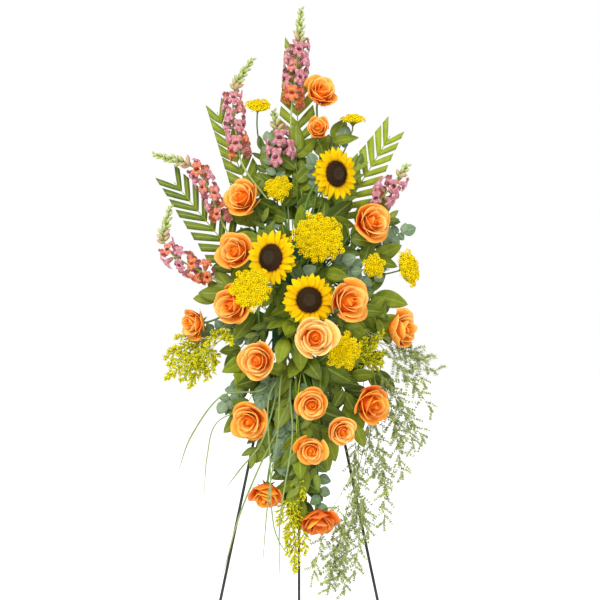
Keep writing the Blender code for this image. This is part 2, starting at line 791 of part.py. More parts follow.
def leaf(root, way, face, length, shape=SALAL, arch=0.12):
    """Arched leaf, ridged along its middle, on a short stalk."""
    path, sections = leaf_stations(root, way, face, length, shape, arch)
    return sweep([root] + path, [keel(LEAF_ROOT, LEAF_ROOT)] + sections, face)


def leafy_tip(path, radius, length, shape):
    """Stem along a path from its tip, whose end flattens into a leaf of its own."""
    way = (path[0] - path[1]).normalized()
    face = (TO_VIEWER - way * TO_VIEWER.dot(way)).normalized()
    blade, sections = leaf_stations(path[0], way, face, length, shape, 0.0)
    whole = list(reversed(blade)) + list(path)
    stem = [keel(radius, radius * 1.6)] * len(path)
    return sweep(whole, list(reversed(sections)) + stem, face)


ROLLS = (0, 25, -25, 50, -50, 80, -80)
SPREADS = (52, 34, 70, 16)
SIZES = (1.0, 0.85, 0.7)
CLEAR_OF_STEM = 0.006


def placed_leaf(root, ahead, side, length, shape):
    """First leaf that crosses nothing, tried at other rolls and spreads and then smaller; or None."""
    for share in SIZES:
        for roll in ROLLS:
            for spread in SPREADS:
                face = Matrix.Rotation(math.radians(roll), 3, ahead) @ TO_VIEWER
                face = (face - ahead * face.dot(ahead)).normalized()
                out = ahead.cross(face) * side
                angle = math.radians(spread)
                way = (ahead * math.cos(angle) + out * math.sin(angle)).normalized()
                tested = leaf(root + way * CLEAR_OF_STEM, way, face, length * share, shape)
                lifted = Matrix.Translation(face * TEST_MARGIN)
                made = leaf(root, way, face, length * share, shape)
                in_front = is_clear(tested.moved(lifted))
                behind = is_clear(tested.moved(lifted.inverted()))
                if in_front and behind and is_clear(made, False):
                    return made
    return None


# Stems


SHIFTS = [Vector((0.0, 0.0, 0.0))]
for reach in (0.012, 0.024, 0.036, 0.050, 0.070):
    for way in (OUT, ACROSS, -ACROSS, UP, -UP, -OUT):
        SHIFTS.append(way * reach)
        if way not in (OUT, -OUT):
            SHIFTS.append((way + OUT).normalized() * reach)
            SHIFTS.append((way - OUT).normalized() * reach)


def clear_shift(make_test):
    """First shift of a bend for which the tested solid crosses nothing, or else nothing of other objects."""
    for own in (True, False):
        for shift in SHIFTS:
            if is_clear(make_test(shift), own):
                return shift
    return None


PLUG_BEYOND = 0.012
SEAT_DEPTH = 0.003
SEAT_OUT = 0.56
STEM_END = 0.0013
SHORT = 0.008


def short_of_seat(path):
    """The same path, ended a little before its seat, where it may touch its own foot."""
    back = (path[-2] - path[-1]).normalized()
    return path[:-1] + [path[-1] + back * SHORT]


def seats(foot, targets):
    """Ends of a foot's stems, spread round it just inside its outer end in the order of their targets."""
    a = foot.way.orthogonal().normalized()
    b = foot.way.cross(a)
    asides = [target - foot.mouth() for target in targets]
    angles = [math.atan2(aside.dot(b), aside.dot(a)) for aside in asides]
    order = sorted(range(len(targets)), key=lambda k: angles[k])
    step = math.tau / len(targets)
    turns = [angles[k] - step * place for place, k in enumerate(order)]
    first = math.atan2(sum(math.sin(turn) for turn in turns), sum(math.cos(turn) for turn in turns))
    ring = {}
    for place, k in enumerate(order):
        turn = first + step * place
        outward = a * math.cos(turn) + b * math.sin(turn)
        ring[k] = foot.mouth(PLUG_BEYOND - SEAT_DEPTH) + outward * (foot.radius * SEAT_OUT)
    return [ring[k] for k in range(len(targets))]


def leaving(foot, end):
    """Way in which a stem leaves its seat: along the foot and a little outward."""
    outward = end - foot.mouth(PLUG_BEYOND - SEAT_DEPTH)
    return (foot.way + outward / foot.radius).normalized()


class Calyx(NamedTuple):
    """Star under a bloom: how many tips, its two radii, and how far back each of them lies."""

    tips: int
    inner: float
    outer: float
    inner_back: float
    outer_back: float


ROSE_CALYX = Calyx(5, 0.0066, 0.021, 0.0012, 0.0035)
SUNFLOWER_BRACTS = Calyx(6, 0.020, 0.036, 0.0030, 0.0080)


def starred_stem(top, facing, path, radius, calyx):
    """Stem along a path to its seat, whose start opens in the calyx of the bloom above `top`."""
    sections = [circle(radius, calyx.tips)] * (len(path) - 1) + [circle(STEM_END, calyx.tips)]
    stem = sweep(path, sections, ACROSS if abs(facing.x) < 0.8 else UP, start_closed=False)
    count = len(stem.points)
    points = stem.points + [top]
    faces = list(stem.faces)
    first = stem.points[: calyx.tips]
    for k in range(calyx.tips):
        beside = first[k] - path[0]
        beyond = first[(k + 1) % calyx.tips] - path[0]
        for outward, reach, back in (
            (beside, calyx.inner, calyx.inner_back),
            (beside + beyond, calyx.outer, calyx.outer_back),
        ):
            flat = (outward - facing * outward.dot(facing)).normalized()
            points.append(top + flat * reach - facing * back)
    for k in range(calyx.tips):
        k_next = (k + 1) % calyx.tips
        notch, tip, after = (count + 1 + j % (calyx.tips * 2) for j in range(k * 2, k * 2 + 3))
        faces += [(k, notch, tip), (k, tip, k_next), (k_next, tip, after)]
        faces += [(count, tip, notch), (count, after, tip)]
    return Solid(points, faces)


def stem_route(foot, start, pull, end):
    """Function that gives the path from a stem's start to its seat for a shift of the bend."""
    distance = (start - end).length
    count = max(3, min(5, round(distance / 0.09) + 1))

    def route(shift):
        first = pull * (distance * 0.34) + shift
        return arc_path(start, first, end, leaving(foot, end) * (distance * 0.38) + shift, count)

    return route


STRAIGHT = 0.006


def bloom_stem(foot, end, bloom, base, radius, calyx):
    """Stem from a bloom's back to its seat in the foot."""
    facing = bloom.facing()
    top = base - facing * GAP
    route = stem_route(foot, top - facing * STRAIGHT, -facing, end)

    def tested(shift):
        return tube(short_of_seat(route(shift)), radius + TEST_MARGIN)

    path = route(clear_shift(tested))
    if calyx:
        return starred_stem(top, facing, path, radius, calyx)
    return tube([top] + path, [radius] * len(path) + [STEM_END], 3)


class Sprig(NamedTuple):
    """Leafy stem of a bunch: the place of its tip, how many side leaves, and the length of a leaf."""

    stems: str
    right: float
    down: float
    forward: float
    leaves: int
    length: float


SPRIGS = (
    Sprig("stems_top", 342, 112, 0.040, 2, 0.068),
    Sprig("stems_top", 300, 158, 0.060, 2, 0.068),
    Sprig("stems_top", 352, 200, 0.080, 2, 0.068),
    Sprig("stems_top", 300, 205, 0.090, 1, 0.068),
    Sprig("stems_upper_left", 258, 222, 0.085, 2, 0.070),
    Sprig("stems_upper_left", 212, 268, 0.060, 2, 0.068),
    Sprig("stems_upper_right", 402, 245, 0.050, 2, 0.068),
    Sprig("stems_upper_right", 408, 305, 0.045, 3, 0.072),
    Sprig("stems_upper_right", 384, 350, 0.070, 2, 0.072),
    Sprig("stems_centre", 347, 266, 0.120, 2, 0.076),
    Sprig("stems_centre", 286, 338, 0.120, 2, 0.074),
    Sprig("stems_centre", 300, 370, 0.120, 1, 0.076),
    Sprig("stems_centre", 262, 322, 0.115, 1, 0.074),
    Sprig("stems_centre", 330, 318, 0.130, 1, 0.076),
    Sprig("stems_left", 198, 292, 0.050, 3, 0.072),
    Sprig("stems_left", 232, 340, 0.075, 2, 0.070),
    Sprig("stems_left", 236, 392, 0.070, 2, 0.070),
    Sprig("stems_lower", 352, 384, 0.080, 2, 0.076),
    Sprig("stems_lower", 320, 380, 0.100, 1, 0.076),
    Sprig("stems_lower", 336, 462, 0.060, 2, 0.072),
    Sprig("stems_lower", 284, 432, 0.080, 2, 0.068),
    Sprig("stems_lower", 276, 398, 0.080, 1, 0.068),
    Sprig("stems_lower", 262, 466, 0.050, 3, 0.072),
    Sprig("stems_lower", 226, 436, 0.050, 2, 0.068),
    Sprig("stems_lower", 300, 480, 0.080, 1, 0.064),
)
LEAF_SPACING = 0.20


def leafy_stem(solids, foot, end, sprig):
    """Leafy stem that ends in a leaf, with others by turns left and right along its outer half."""
    tip = seen_at(sprig.right, sprig.down, sprig.forward)
    ahead_at_tip = (tip - end).normalized()
    route = stem_route(foot, tip - ahead_at_tip * sprig.length, -ahead_at_tip, end)

    def tested(shift):
        return leafy_tip(short_of_seat(route(shift)), THIN_STEM + TEST_MARGIN, sprig.length * 1.05, SALAL)

    shift = clear_shift(tested)
    if shift is None:
        return
    path = route(shift)
    add(solids, leafy_tip(path, THIN_STEM, sprig.length, SALAL))
    for k in range(sprig.leaves):
        at = (0.04 + k * LEAF_SPACING) * (len(path) - 1)
        step = int(at)
        root = path[step].lerp(path[step + 1], at - step)
        ahead = (path[step] - path[step + 1]).normalized()
        made = placed_leaf(root, ahead, (-1) ** k, sprig.length, SALAL)
        if made:
            add(solids, made)


def bunch_stems(name):
    """The stems under the blooms that share one foot, and the seats kept for the leafy stems between them."""
    foot = FEET[name]
    bases = []
    for bloom in ROSES.values():
        base = bloom.place(bloom.width * ROSE_MIDDLE).translation
        bases.append((bloom, base, ROSE_STEM, ROSE_CALYX))
    for bloom in SUNFLOWERS.values():
        base = bloom.place(0.0).translation - bloom.facing() * HUB_HALF
        bases.append((bloom, base, SUNFLOWER_STEM, SUNFLOWER_BRACTS))
    for bloom in YARROWS.values():
        base = bloom.place(bloom.width * YARROW_MIDDLE).translation
        bases.append((bloom, base, THIN_STEM, None))
    bases = [entry for entry in bases if entry[0].stems == name]
    targets = [base for _, base, _, _ in bases]
    targets += [seen_at(sprig.right, sprig.down, sprig.forward) for sprig in SPRIGS if sprig.stems == name]
    ends = seats(foot, targets)
    solids = [plug(foot, PLUG_BEYOND)]
    for end, (bloom, base, radius, calyx) in zip(ends, bases):
        add(solids, bloom_stem(foot, end, bloom, base, radius, calyx))
    TAKEN[name] = tree_of(together(solids))
    OWN.clear()
    return solids, ends[len(bases) :]


def bunch_leaves(name, solids, ends, material):
    """Adds the leafy stems to a bunch, last of all, where there is room, and makes it one object."""
    OWN.append(TAKEN.pop(name))
    sprigs = [sprig for sprig in SPRIGS if sprig.stems == name]
    for end, sprig in zip(ends, sprigs):
        leafy_stem(solids, FEET[name], end, sprig)
    return fused(name, solids, material)


# Snapdragons


class Spike(NamedTuple):
    """Flower spike: its tip, the bend and the lowest floret as seen, and how far each stands forward."""

    tip: tuple
    bend: tuple
    low: tuple


SPIKES = {
    "snapdragon_1": Spike((301, 10, 0.045), (298, 52, 0.050), (292, 104, 0.060)),
    "snapdragon_2": Spike((252, 60, 0.045), (233, 96, 0.055), (240, 158, 0.060)),
    "snapdragon_3": Spike((274, 112, 0.060), (279, 140, 0.070), (284, 172, 0.065)),
    "snapdragon_4": Spike((155, 155, 0.050), (197, 170, 0.055), (222, 222, 0.055)),
    "snapdragon_5": Spike((170, 208, 0.055), (166, 248, 0.060), (216, 280, 0.055)),
    "snapdragon_6": Spike((407, 166, 0.050), (392, 186, 0.060), (376, 204, 0.050)),
}
FLORET_PITCH = 0.0105
FLORETS_SHARE = 0.62
FLORET_SIZE = 0.033
BUD_SIZE = 0.022
SPIKE_STEM = 0.0020
GOLDEN_TURN = math.radians(137.5)


def floret(root, way, size):
    """Snapdragon floret: a throat that opens into two lips, dimpled in front."""
    ring = []
    for k, share in enumerate((0.40, 0.50, 0.40, 0.50)):
        angle = math.tau * k / 4
        ring.append(Vector((size * share * math.cos(angle), size * share * math.sin(angle), size * 0.9)))
    return skin([[Vector((0.0, 0.0, 0.0))], ring, [Vector((0.0, 0.0, size * 0.70))]]).moved(aim(root, way))


def bud(root, way, size):
    """Closed bud: a small pointed spindle."""
    ring = [Vector((x, y, size * 0.45)) for x, y in circle(size * 0.30, 3)]
    return skin([[Vector((0.0, 0.0, 0.0))], ring, [Vector((0.0, 0.0, size))]]).moved(aim(root, way))


def snapdragon(name, spike, material):
    """Spike with florets round its lower part and buds that grow smaller to its tip."""
    tip, bend, low = (seen_at(*place) for place in spike)
    foot = FEET[name]
    route = stem_route(foot, low, (low - bend).normalized(), foot.mouth(PLUG_BEYOND))

    def tested(shift):
        return tube(short_of_seat(route(shift)), SPIKE_STEM * 2)

    below = route(clear_shift(tested))
    above = smooth_path([tip, bend, low], 5)
    path = above + below[1:] + [foot.mouth(-STEM_DEPTH)]
    radii = [0.0010, 0.0016] + [SPIKE_STEM] * (len(path) - 4) + [foot.radius * PLUG_FIT] * 2
    solids = [tube(path, radii, 4)]
    length = (tip - bend).length + (bend - low).length
    total = round(length / FLORET_PITCH)
    buds = round(total * (1.0 - FLORETS_SHARE))
    for k in range(total):
        at = (k + 0.6) / total * (len(above) - 1)
        step = int(at)
        root = above[step].lerp(above[step + 1], at - step)
        ahead = (above[step] - above[step + 1]).normalized()
        sideways = Matrix.Rotation(GOLDEN_TURN * k, 3, ahead) @ ahead.cross(TO_VIEWER).normalized()
        if k < buds:
            grown = 0.55 + 0.45 * k / buds
            way = (sideways * (0.5 + 0.4 * grown) + ahead * 0.7).normalized()
            make, size = bud, BUD_SIZE * grown
        else:
            way = (sideways + ahead * 0.45).normalized()
            make, size = floret, FLORET_SIZE
        if is_clear(make(root, way, size * 1.1)):
            solids.append(make(root, way, size))
    return fused(name, solids, material)


# Palm fronds


class Frond(NamedTuple):
    """Trimmed palm frond: ends of its rib as seen, leaflets a side, their lengths, how full each side is."""

    base: tuple
    tip: tuple
    leaflets: int
    left: float
    right: float
    left_full: float
    right_full: float


FRONDS = {
    "palm_top": Frond((299, 158, 0.024), (295, 48, 0.030), 8, 0.062, 0.062, 0.78, 0.76),
    "palm_upper_left": Frond((258, 214, 0.026), (217, 112, 0.028), 8, 0.052, 0.062, 0.92, 0.84),
    "palm_left": Frond((240, 262, 0.022), (174, 182, 0.026), 8, 0.074, 0.074, 0.78, 0.68),
    "palm_right": Frond((338, 220, 0.024), (390, 136, 0.028), 8, 0.078, 0.062, 0.84, 0.68),
}
LEAFLET_ANGLES = (math.radians(49.0), math.radians(30.0))
LEAFLET_ROOT = 0.50
LEAFLET_BACK = 0.20
LEAFLET_TAPER = 0.26
LEAFLET_THICKNESS = 0.0010
LEAFLET_DROOP = 0.004
RIB_HALF = 0.0022
RIB_THICKNESS = 0.0022
STALK_RADIUS = 0.0021


def palm_blade(base, tip, face, frond):
    """Rib and leaflets in one thin sheet; the leaflets' ends lie along two lines that meet near the tip."""
    along = (tip - base).normalized()
    across = along.cross(face)
    pitch = (tip - base).length / frond.leaflets
    points, thickness, faces = [], [], []
    for k in range(frond.leaflets):
        for share in (k, k + LEAFLET_ROOT):
            half = RIB_HALF * (1.0 - 0.5 * share / frond.leaflets)
            middle = base + along * (pitch * share)
            points += [middle - across * half, middle + across * half]
            thickness += [RIB_THICKNESS] * 2
    points += [tip - across * RIB_HALF * 0.4, tip + across * RIB_HALF * 0.4]
    thickness += [RIB_THICKNESS * 0.7] * 2
    for station in range(frond.leaflets * 2):
        left = station * 2
        faces.append((left, left + 1, left + 3, left + 2))
    for side, length, full in ((-1, frond.left, frond.left_full), (1, frond.right, frond.right_full)):
        wide = along * (pitch * full)
        for k in range(frond.leaflets):
            low, high = LEAFLET_ANGLES
            angle = low + (high - low) * k / (frond.leaflets - 1)
            way = along * math.cos(angle) + across * (side * math.sin(angle))
            inner = k * 4 + (0 if side < 0 else 1)
            reach = length * (1.0 - LEAFLET_TAPER * k / frond.leaflets)
            lower = points[inner] + way * reach - wide * LEAFLET_BACK - face * LEAFLET_DROOP
            start = len(points)
            points += [lower, lower + wide - way * (reach * 0.10)]
            thickness += [LEAFLET_THICKNESS] * 2
            ring = (inner, start, start + 1, inner + 2)
            faces.append(ring if side > 0 else tuple(reversed(ring)))
    return plate(points, thickness, faces, face)


def palm(name, frond, material):
    """Trimmed frond on its stalk."""
    base, tip = seen_at(*frond.base), seen_at(*frond.tip)
    foot = FEET[name]
    along = (tip - base).normalized()
    face = (OUT - along * OUT.dot(along)).normalized()
    end = foot.mouth(PLUG_BEYOND)
    distance = (base - end).length
    path = arc_path(base + along * 0.006, -along * distance * 0.35, end, foot.way * distance * 0.4, 4)
    stalk = tube(path + [foot.mouth(-STEM_DEPTH)], [STALK_RADIUS] * 3 + [foot.radius * PLUG_FIT] * 2, 4)
    return fused(name, [stalk, palm_blade(base, tip, face, frond)], material)


# Eucalyptus, solidago, fern and bear grass


class Twig(NamedTuple):
    """Twig of a foliage node: the place of its tip and of a bend on the way, as seen."""

    plant: str
    tip: tuple
    bend: tuple


TWIGS = (
    Twig("eucalyptus_right", (343, 138, 0.035), (330, 180, 0.050)),
    Twig("eucalyptus_right", (314, 166, 0.090), (322, 196, 0.070)),
    Twig("eucalyptus_right", (403, 232, 0.040), (372, 240, 0.050)),
    Twig("eucalyptus_left", (204, 330, 0.040), (232, 326, 0.050)),
    Twig("eucalyptus_left", (226, 402, 0.050), (246, 372, 0.045)),
    Twig("eucalyptus_left", (262, 400, 0.070), (270, 376, 0.060)),
)
TWIG_PAIRS = 2
ROUND_LEAF = 0.031
TWIG_RADIUS = 0.0014


def twig_path(foot, end, twig, count, make_test):
    """Path of a twig from tip over bend to seat, shifted until the tested solid is clear; or None."""
    tip, bend = seen_at(*twig.tip), seen_at(*twig.bend)
    reach = (bend - end).length

    def route(shift):
        last = [end + leaving(foot, end) * (reach * 0.3), end]
        return smooth_path([tip + shift * 0.5, bend + shift] + last, count)

    def tested(shift):
        return make_test(route(shift))

    shift = clear_shift(tested)
    return None if shift is None else route(shift)


def twigs_of(name, twigs):
    """The twigs of one plant, each with its seat."""
    chosen = [twig for twig in twigs if twig.plant == name]
    return zip(seats(FEET[name], [seen_at(*twig.bend) for twig in chosen]), chosen)


def eucalyptus(name, material):
    """Twigs that end in a round leaf, with pairs of round leaves below it."""
    foot = FEET[name]
    solids = [plug(foot, PLUG_BEYOND)]
    for end, twig in twigs_of(name, TWIGS):
        path = twig_path(
            foot,
            end,
            twig,
            6,
            lambda path: leafy_tip(short_of_seat(path), TWIG_RADIUS + TEST_MARGIN, ROUND_LEAF * 1.05, ROUND),
        )
        if path is None:
            continue
        add(solids, leafy_tip(path, TWIG_RADIUS, ROUND_LEAF, ROUND))
        for k in range(TWIG_PAIRS * 2):
            at = 0.2 + 0.9 * (k // 2) + 0.12 * (k % 2)
            step = int(at)
            root = path[step].lerp(path[step + 1], at - step)
            ahead = (path[step] - path[step + 1]).normalized()
            made = placed_leaf(root, ahead, (-1) ** k, ROUND_LEAF, ROUND)
            if made:
                add(solids, made)
    return fused(name, solids, material)


PLUMES = (
    Twig("solidago_left", (166, 374, 0.030), (192, 350, 0.055)),
    Twig("solidago_left", (186, 388, 0.045), (205, 350, 0.060)),
    Twig("solidago_left", (214, 372, 0.060), (218, 346, 0.070)),
    Twig("solidago_left", (168, 350, 0.040), (200, 340, 0.045)),
    Twig("solidago_lower", (386, 352, 0.050), (366, 360, 0.060)),
    Twig("solidago_lower", (298, 572, 0.040), (301, 520, 0.035)),
    Twig("solidago_lower", (286, 540, 0.050), (292, 500, 0.045)),
)
PLUME_RADIUS = 0.0105
PLUME_PITCH = 0.015
PLUME_ROWS = 6
PLUME_STEM_ROWS = 4
PLUME_STEM = 0.0013


def plume_points(path):
    """Rows of a plume and of the stem behind it."""
    head = [PLUME_PITCH * k for k in range(PLUME_ROWS + 1)]
    return [point for point, _ in points_along(path, with_stem(head, path, PLUME_STEM_ROWS))]


def plume(points, margin=0.0):
    """Feathery plume knobbed all over by its small heads, on the thin stem that carries it."""
    sections = [[(0.0, 0.0)]]
    for row in range(1, len(points)):
        reaches = [PLUME_STEM + margin] * 4
        if row < PLUME_ROWS:
            body = PLUME_RADIUS * math.sin(math.pi * min(1.0, row / PLUME_ROWS * 0.9 + 0.1)) + margin
            reaches = [body * (1.0 + 0.30 * (-1) ** (k + row)) for k in range(4)]
        sections.append([(x * reach, y * reach) for reach, (x, y) in zip(reaches, circle(1.0, 4))])
    return sweep(points, sections, TO_VIEWER)


def solidago(name, material):
    """Drooping plumes on thin branched stems."""
    foot = FEET[name]
    solids = [plug(foot, PLUG_BEYOND)]
    for end, twig in twigs_of(name, PLUMES):
        path = twig_path(
            foot,
            end,
            twig,
            12,
            lambda path: plume(short_of_seat(plume_points(path)), TEST_MARGIN),
        )
        if path:
            add(solids, plume(plume_points(path)))
    return fused(name, solids, material)


FERN_STEMS = (
    Twig("asparagus_fern", (436, 372, 0.030), (400, 352, 0.045)),
    Twig("asparagus_fern", (432, 412, 0.040), (404, 372, 0.050)),
    Twig("asparagus_fern", (410, 446, 0.030), (392, 404, 0.040)),
    Twig("asparagus_fern", (386, 492, 0.030), (378, 440, 0.030)),
    Twig("asparagus_fern", (368, 536, 0.030), (358, 470, 0.025)),
    Twig("asparagus_fern", (344, 592, 0.030), (346, 510, 0.035)),
    Twig("asparagus_fern", (322, 590, 0.045), (330, 530, 0.035)),
)
FERN_BRANCHES = 10
FERN_PITCH = 0.0165
FERN_STEM = 0.0012
FERN_STEM_ROWS = 6
FERN_BRANCH = 0.040


def fern_points(path):
    """Rings of a fern stem: close ones where it has branches, then its bare length."""
    head = [FERN_PITCH / 2 * row for row in range(FERN_BRANCHES * 2 + 1)]
    return points_along(path, with_stem(head, path, FERN_STEM_ROWS))


def fern_stem(path, draw):
    """Three-sided stem; one corner of every second ring is drawn out into a slim branch, by turns."""
    rings = []
    normal = TO_VIEWER
    for row, (point, ahead) in enumerate(fern_points(path)):
        normal = (normal - ahead * normal.dot(ahead)).normalized()
        side = normal.cross(-ahead)
        ring = [point + side * x + normal * y for x, y in circle(FERN_STEM, 3)]
        if row == 0:
            ring = [point]
        if row % 2 == 1 and row < FERN_BRANCHES * 2:
            corner = (row // 2) % 3
            way = ((ring[corner] - point).normalized() + ahead * draw.uniform(0.4, 0.9)).normalized()
            drawn = ring[corner] + way * (FERN_BRANCH * draw.uniform(0.8, 1.1))
            beyond = way * 0.002
            feather = tube([point, ring[corner] + beyond, drawn + beyond], [0.002, 0.005, 0.0008], 4)
            if is_clear(feather):
                ring[corner] = drawn
        rings.append(ring)
    return skin(rings)


def fern(name, material):
    """Arching stems with feathery side branches on all sides out to the tips."""
    draw = random.Random(SEED)
    foot = FEET[name]
    solids = [plug(foot, PLUG_BEYOND)]
    for end, twig in twigs_of(name, FERN_STEMS):
        path = twig_path(
            foot,
            end,
            twig,
            12,
            lambda path: tube(short_of_seat([at for at, _ in fern_points(path)]), FERN_STEM * 2, 4),
        )
        if path:
            add(solids, fern_stem(path, draw))
    return fused(name, solids, material)


GRASS = (
    ((262, 392, 0.085), (222, 398, 0.075), (192, 436, 0.070), (178, 472, 0.065)),
    ((270, 400, 0.075), (226, 420, 0.080), (211, 456, 0.070), (204, 500, 0.060)),
    ((276, 396, 0.100), (262, 442, 0.110), (240, 470, 0.090), (226, 488, 0.080)),
    ((280, 388, 0.120), (277, 440, 0.125), (268, 500, 0.105), (262, 574, 0.090)),
    ((290, 396, 0.120), (292, 440, 0.150), (280, 520, 0.125), (280, 588, 0.085)),
    ((288, 404, 0.095), (258, 470, 0.105), (238, 520, 0.085), (222, 578, 0.075)),
    ((286, 400, 0.105), (287, 460, 0.120), (283, 530, 0.100), (296, 566, 0.095)),
)


GRASS_HALF = 0.0019
GRASS_POINTS = 9


def bear_grass(material):
    """Long thin blades that leave one foot and hang in arcs."""
    foot = FEET["bear_grass"]
    solids = [plug(foot, PLUG_BEYOND)]
    ends = seats(foot, [seen_at(*places[0]) for places in GRASS])
    for end, places in zip(ends, GRASS):
        knots = [seen_at(*place) for place in places]

        def route(shift):
            last = [end + leaving(foot, end) * 0.03, end]
            shifted = [knots[3], knots[2] + shift * 0.5, knots[1] + shift, knots[0] + shift]
            return smooth_path(shifted + last, GRASS_POINTS)

        def tested(shift):
            return tube(short_of_seat(route(shift)), GRASS_HALF + TEST_MARGIN, 3)

        shift = clear_shift(tested)
        if shift is not None:
            path = route(shift)
            add(solids, tube(path, [GRASS_HALF / 3] + [GRASS_HALF] * (len(path) - 2) + [STEM_END], 3))
    return fused("bear_grass", solids, material)


def clear_scene():
    """Removes every object and forgets the spaces taken in an earlier run."""
    for item in list(bpy.data.objects):
        bpy.data.objects.remove(item)
    TAKEN.clear()


def main():
    clear_scene()
    steel = finish("easel_wire_dark", (0.025, 0.032, 0.028), 0.38, 0.7)
    cage_plastic = finish("cage_green_plastic", (0.03, 0.13, 0.05), 0.45)
    foam = finish("foam_green", (0.05, 0.20, 0.09), 0.95)
    petal_orange = finish("rose_petal_orange", (0.95, 0.36, 0.06), 0.55)
    ray_yellow = finish("sunflower_ray_yellow", (0.98, 0.66, 0.02), 0.55)
    disc_brown = finish("sunflower_disc_brown", (0.07, 0.035, 0.02), 0.9)
    yarrow_yellow = finish("yarrow_yellow", (0.93, 0.76, 0.02), 0.8)
    spike_pink = finish("snapdragon_pink", (0.85, 0.22, 0.28), 0.55)
    stem_green = finish("stem_and_leaf_green", (0.08, 0.24, 0.05), 0.5)
    palm_green = finish("palm_green", (0.20, 0.38, 0.04), 0.4)
    eucalyptus_grey = finish("eucalyptus_grey_green", (0.25, 0.40, 0.28), 0.7)
    solidago_lime = finish("solidago_lime", (0.55, 0.60, 0.06), 0.8)
    fern_pale = finish("asparagus_fern_green", (0.33, 0.48, 0.20), 0.6)
    grass_green = finish("bear_grass_green", (0.30, 0.42, 0.16), 0.5)

    easel_front_leg("easel_leg_left", -1, steel)
    easel_front_leg("easel_leg_right", 1, steel)
    easel_head(steel)
    easel_back_leg(steel)
    foam_cage(cage_plastic)
    foam_block(foam)
    for name, bloom in ROSES.items():
        rose_head(name, bloom, petal_orange)
    for name, bloom in SUNFLOWERS.items():
        sunflower(name, bloom, ray_yellow, disc_brown)
    for name, bloom in YARROWS.items():
        yarrow_head(name, bloom, yarrow_yellow)
    for name, frond in FRONDS.items():
        palm(name, frond, palm_green)
    bunches = {name: bunch_stems(name) for name in FEET if name.startswith("stems")}
    for name, spike in SPIKES.items():
        snapdragon(name, spike, spike_pink)
    for name in ("eucalyptus_right", "eucalyptus_left"):
        eucalyptus(name, eucalyptus_grey)
    for name in ("solidago_left", "solidago_lower"):
        solidago(name, solidago_lime)
    fern("asparagus_fern", fern_pale)
    bear_grass(grass_green)
    for name, (solids, ends) in bunches.items():
        bunch_leaves(name, solids, ends, stem_green)


if __name__ == "__main__":
    main()
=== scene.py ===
# %% [markdown]
# # A standing funeral spray
# A spray like this one is a tall diamond of flowers and foliage on a wire easel. Every stem stands in a
# block of wet foam that hangs at the middle. The frame that is loaded here holds the sizes, the wires and
# the solid forms. This script grows real petals, leaflets and florets where those solids stand. Lengths are
# metres, and angles in the tables are degrees.

import math
import random
from typing import NamedTuple

import bpy
from mathutils import Matrix, Vector


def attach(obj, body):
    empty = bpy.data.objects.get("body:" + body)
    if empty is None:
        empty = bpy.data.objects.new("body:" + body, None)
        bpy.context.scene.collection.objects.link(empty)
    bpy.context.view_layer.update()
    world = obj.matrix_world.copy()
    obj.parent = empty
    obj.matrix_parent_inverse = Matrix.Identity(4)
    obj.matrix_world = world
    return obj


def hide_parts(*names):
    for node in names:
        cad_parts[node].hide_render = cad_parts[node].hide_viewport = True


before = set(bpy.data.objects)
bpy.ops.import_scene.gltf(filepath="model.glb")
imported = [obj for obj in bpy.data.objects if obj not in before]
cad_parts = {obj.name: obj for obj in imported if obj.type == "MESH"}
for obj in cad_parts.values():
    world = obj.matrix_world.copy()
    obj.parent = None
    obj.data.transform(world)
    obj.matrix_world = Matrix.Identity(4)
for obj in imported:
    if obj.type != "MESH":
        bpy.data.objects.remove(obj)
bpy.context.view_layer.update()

# %% [markdown]
# ## Camera
# The photograph was taken from straight ahead, level with the middle of the spray and far enough away that
# the edges hardly spread. So the camera stands five metres off and looks level along +Y, at the height of
# the foam's middle.

# %% Camera
VIEW_DISTANCE = 5.0
VIEW_PLANE_Y = -0.173
VIEW_ACROSS = 0.0021
VIEW_HALF = 0.63
FOAM_HEIGHT = 1.15

lens = bpy.data.cameras.new("photo_view")
camera = bpy.data.objects.new("photo_view", lens)
camera.location = (VIEW_ACROSS, VIEW_PLANE_Y - VIEW_DISTANCE, FOAM_HEIGHT)
camera.rotation_euler = (math.radians(90.0), 0.0, 0.0)
lens.angle = 2 * math.atan(VIEW_HALF / VIEW_DISTANCE)
bpy.context.scene.collection.objects.link(camera)
bpy.context.scene.camera = camera
bpy.context.scene.view_settings.view_transform = "Standard"
print("camera", tuple(round(c, 3) for c in camera.location))

# %% [markdown]
# ## Light and floor
# A studio like this could be lit with boxes of light near the flowers, but light from far away is as bright
# on the left as on the right. Two wide suns and a white surround give that, with soft shadows between the
# leaves. The surround is seen as full white, and it lights the flowers a little less than it is seen.

# %% Light and floor
SURROUND_LIGHT = 0.62
FLOOR_HALF = 30.0
FLOOR_DROP = 0.0004

surround = bpy.data.worlds.new("white_surround")
surround.use_nodes = True
bpy.context.scene.world = surround
backdrop = surround.node_tree.nodes["Background"]
backdrop.inputs["Color"].default_value = (1.0, 1.0, 1.0, 1.0)
seen_directly = surround.node_tree.nodes.new("ShaderNodeLightPath")
strength = surround.node_tree.nodes.new("ShaderNodeMapRange")
strength.inputs["To Min"].default_value = SURROUND_LIGHT
strength.inputs["To Max"].default_value = 1.0
surround.node_tree.links.new(seen_directly.outputs["Is Camera Ray"], strength.inputs["Value"])
surround.node_tree.links.new(strength.outputs["Result"], backdrop.inputs["Strength"])


def wide_sun(name, power, spread, height, round_turn):
    """Soft light from far away, high in degrees, turned to the left of the camera by round_turn."""
    light = bpy.data.lights.new(name, "SUN")
    light.energy = power
    light.angle = math.radians(spread)
    sun = bpy.data.objects.new(name, light)
    sun.rotation_euler = (math.radians(90.0 - height), 0.0, math.radians(-round_turn))
    bpy.context.scene.collection.objects.link(sun)


wide_sun("key", power=2.5, spread=30.0, height=42.0, round_turn=28.0)
wide_sun("fill", power=0.7, spread=50.0, height=20.0, round_turn=-40.0)

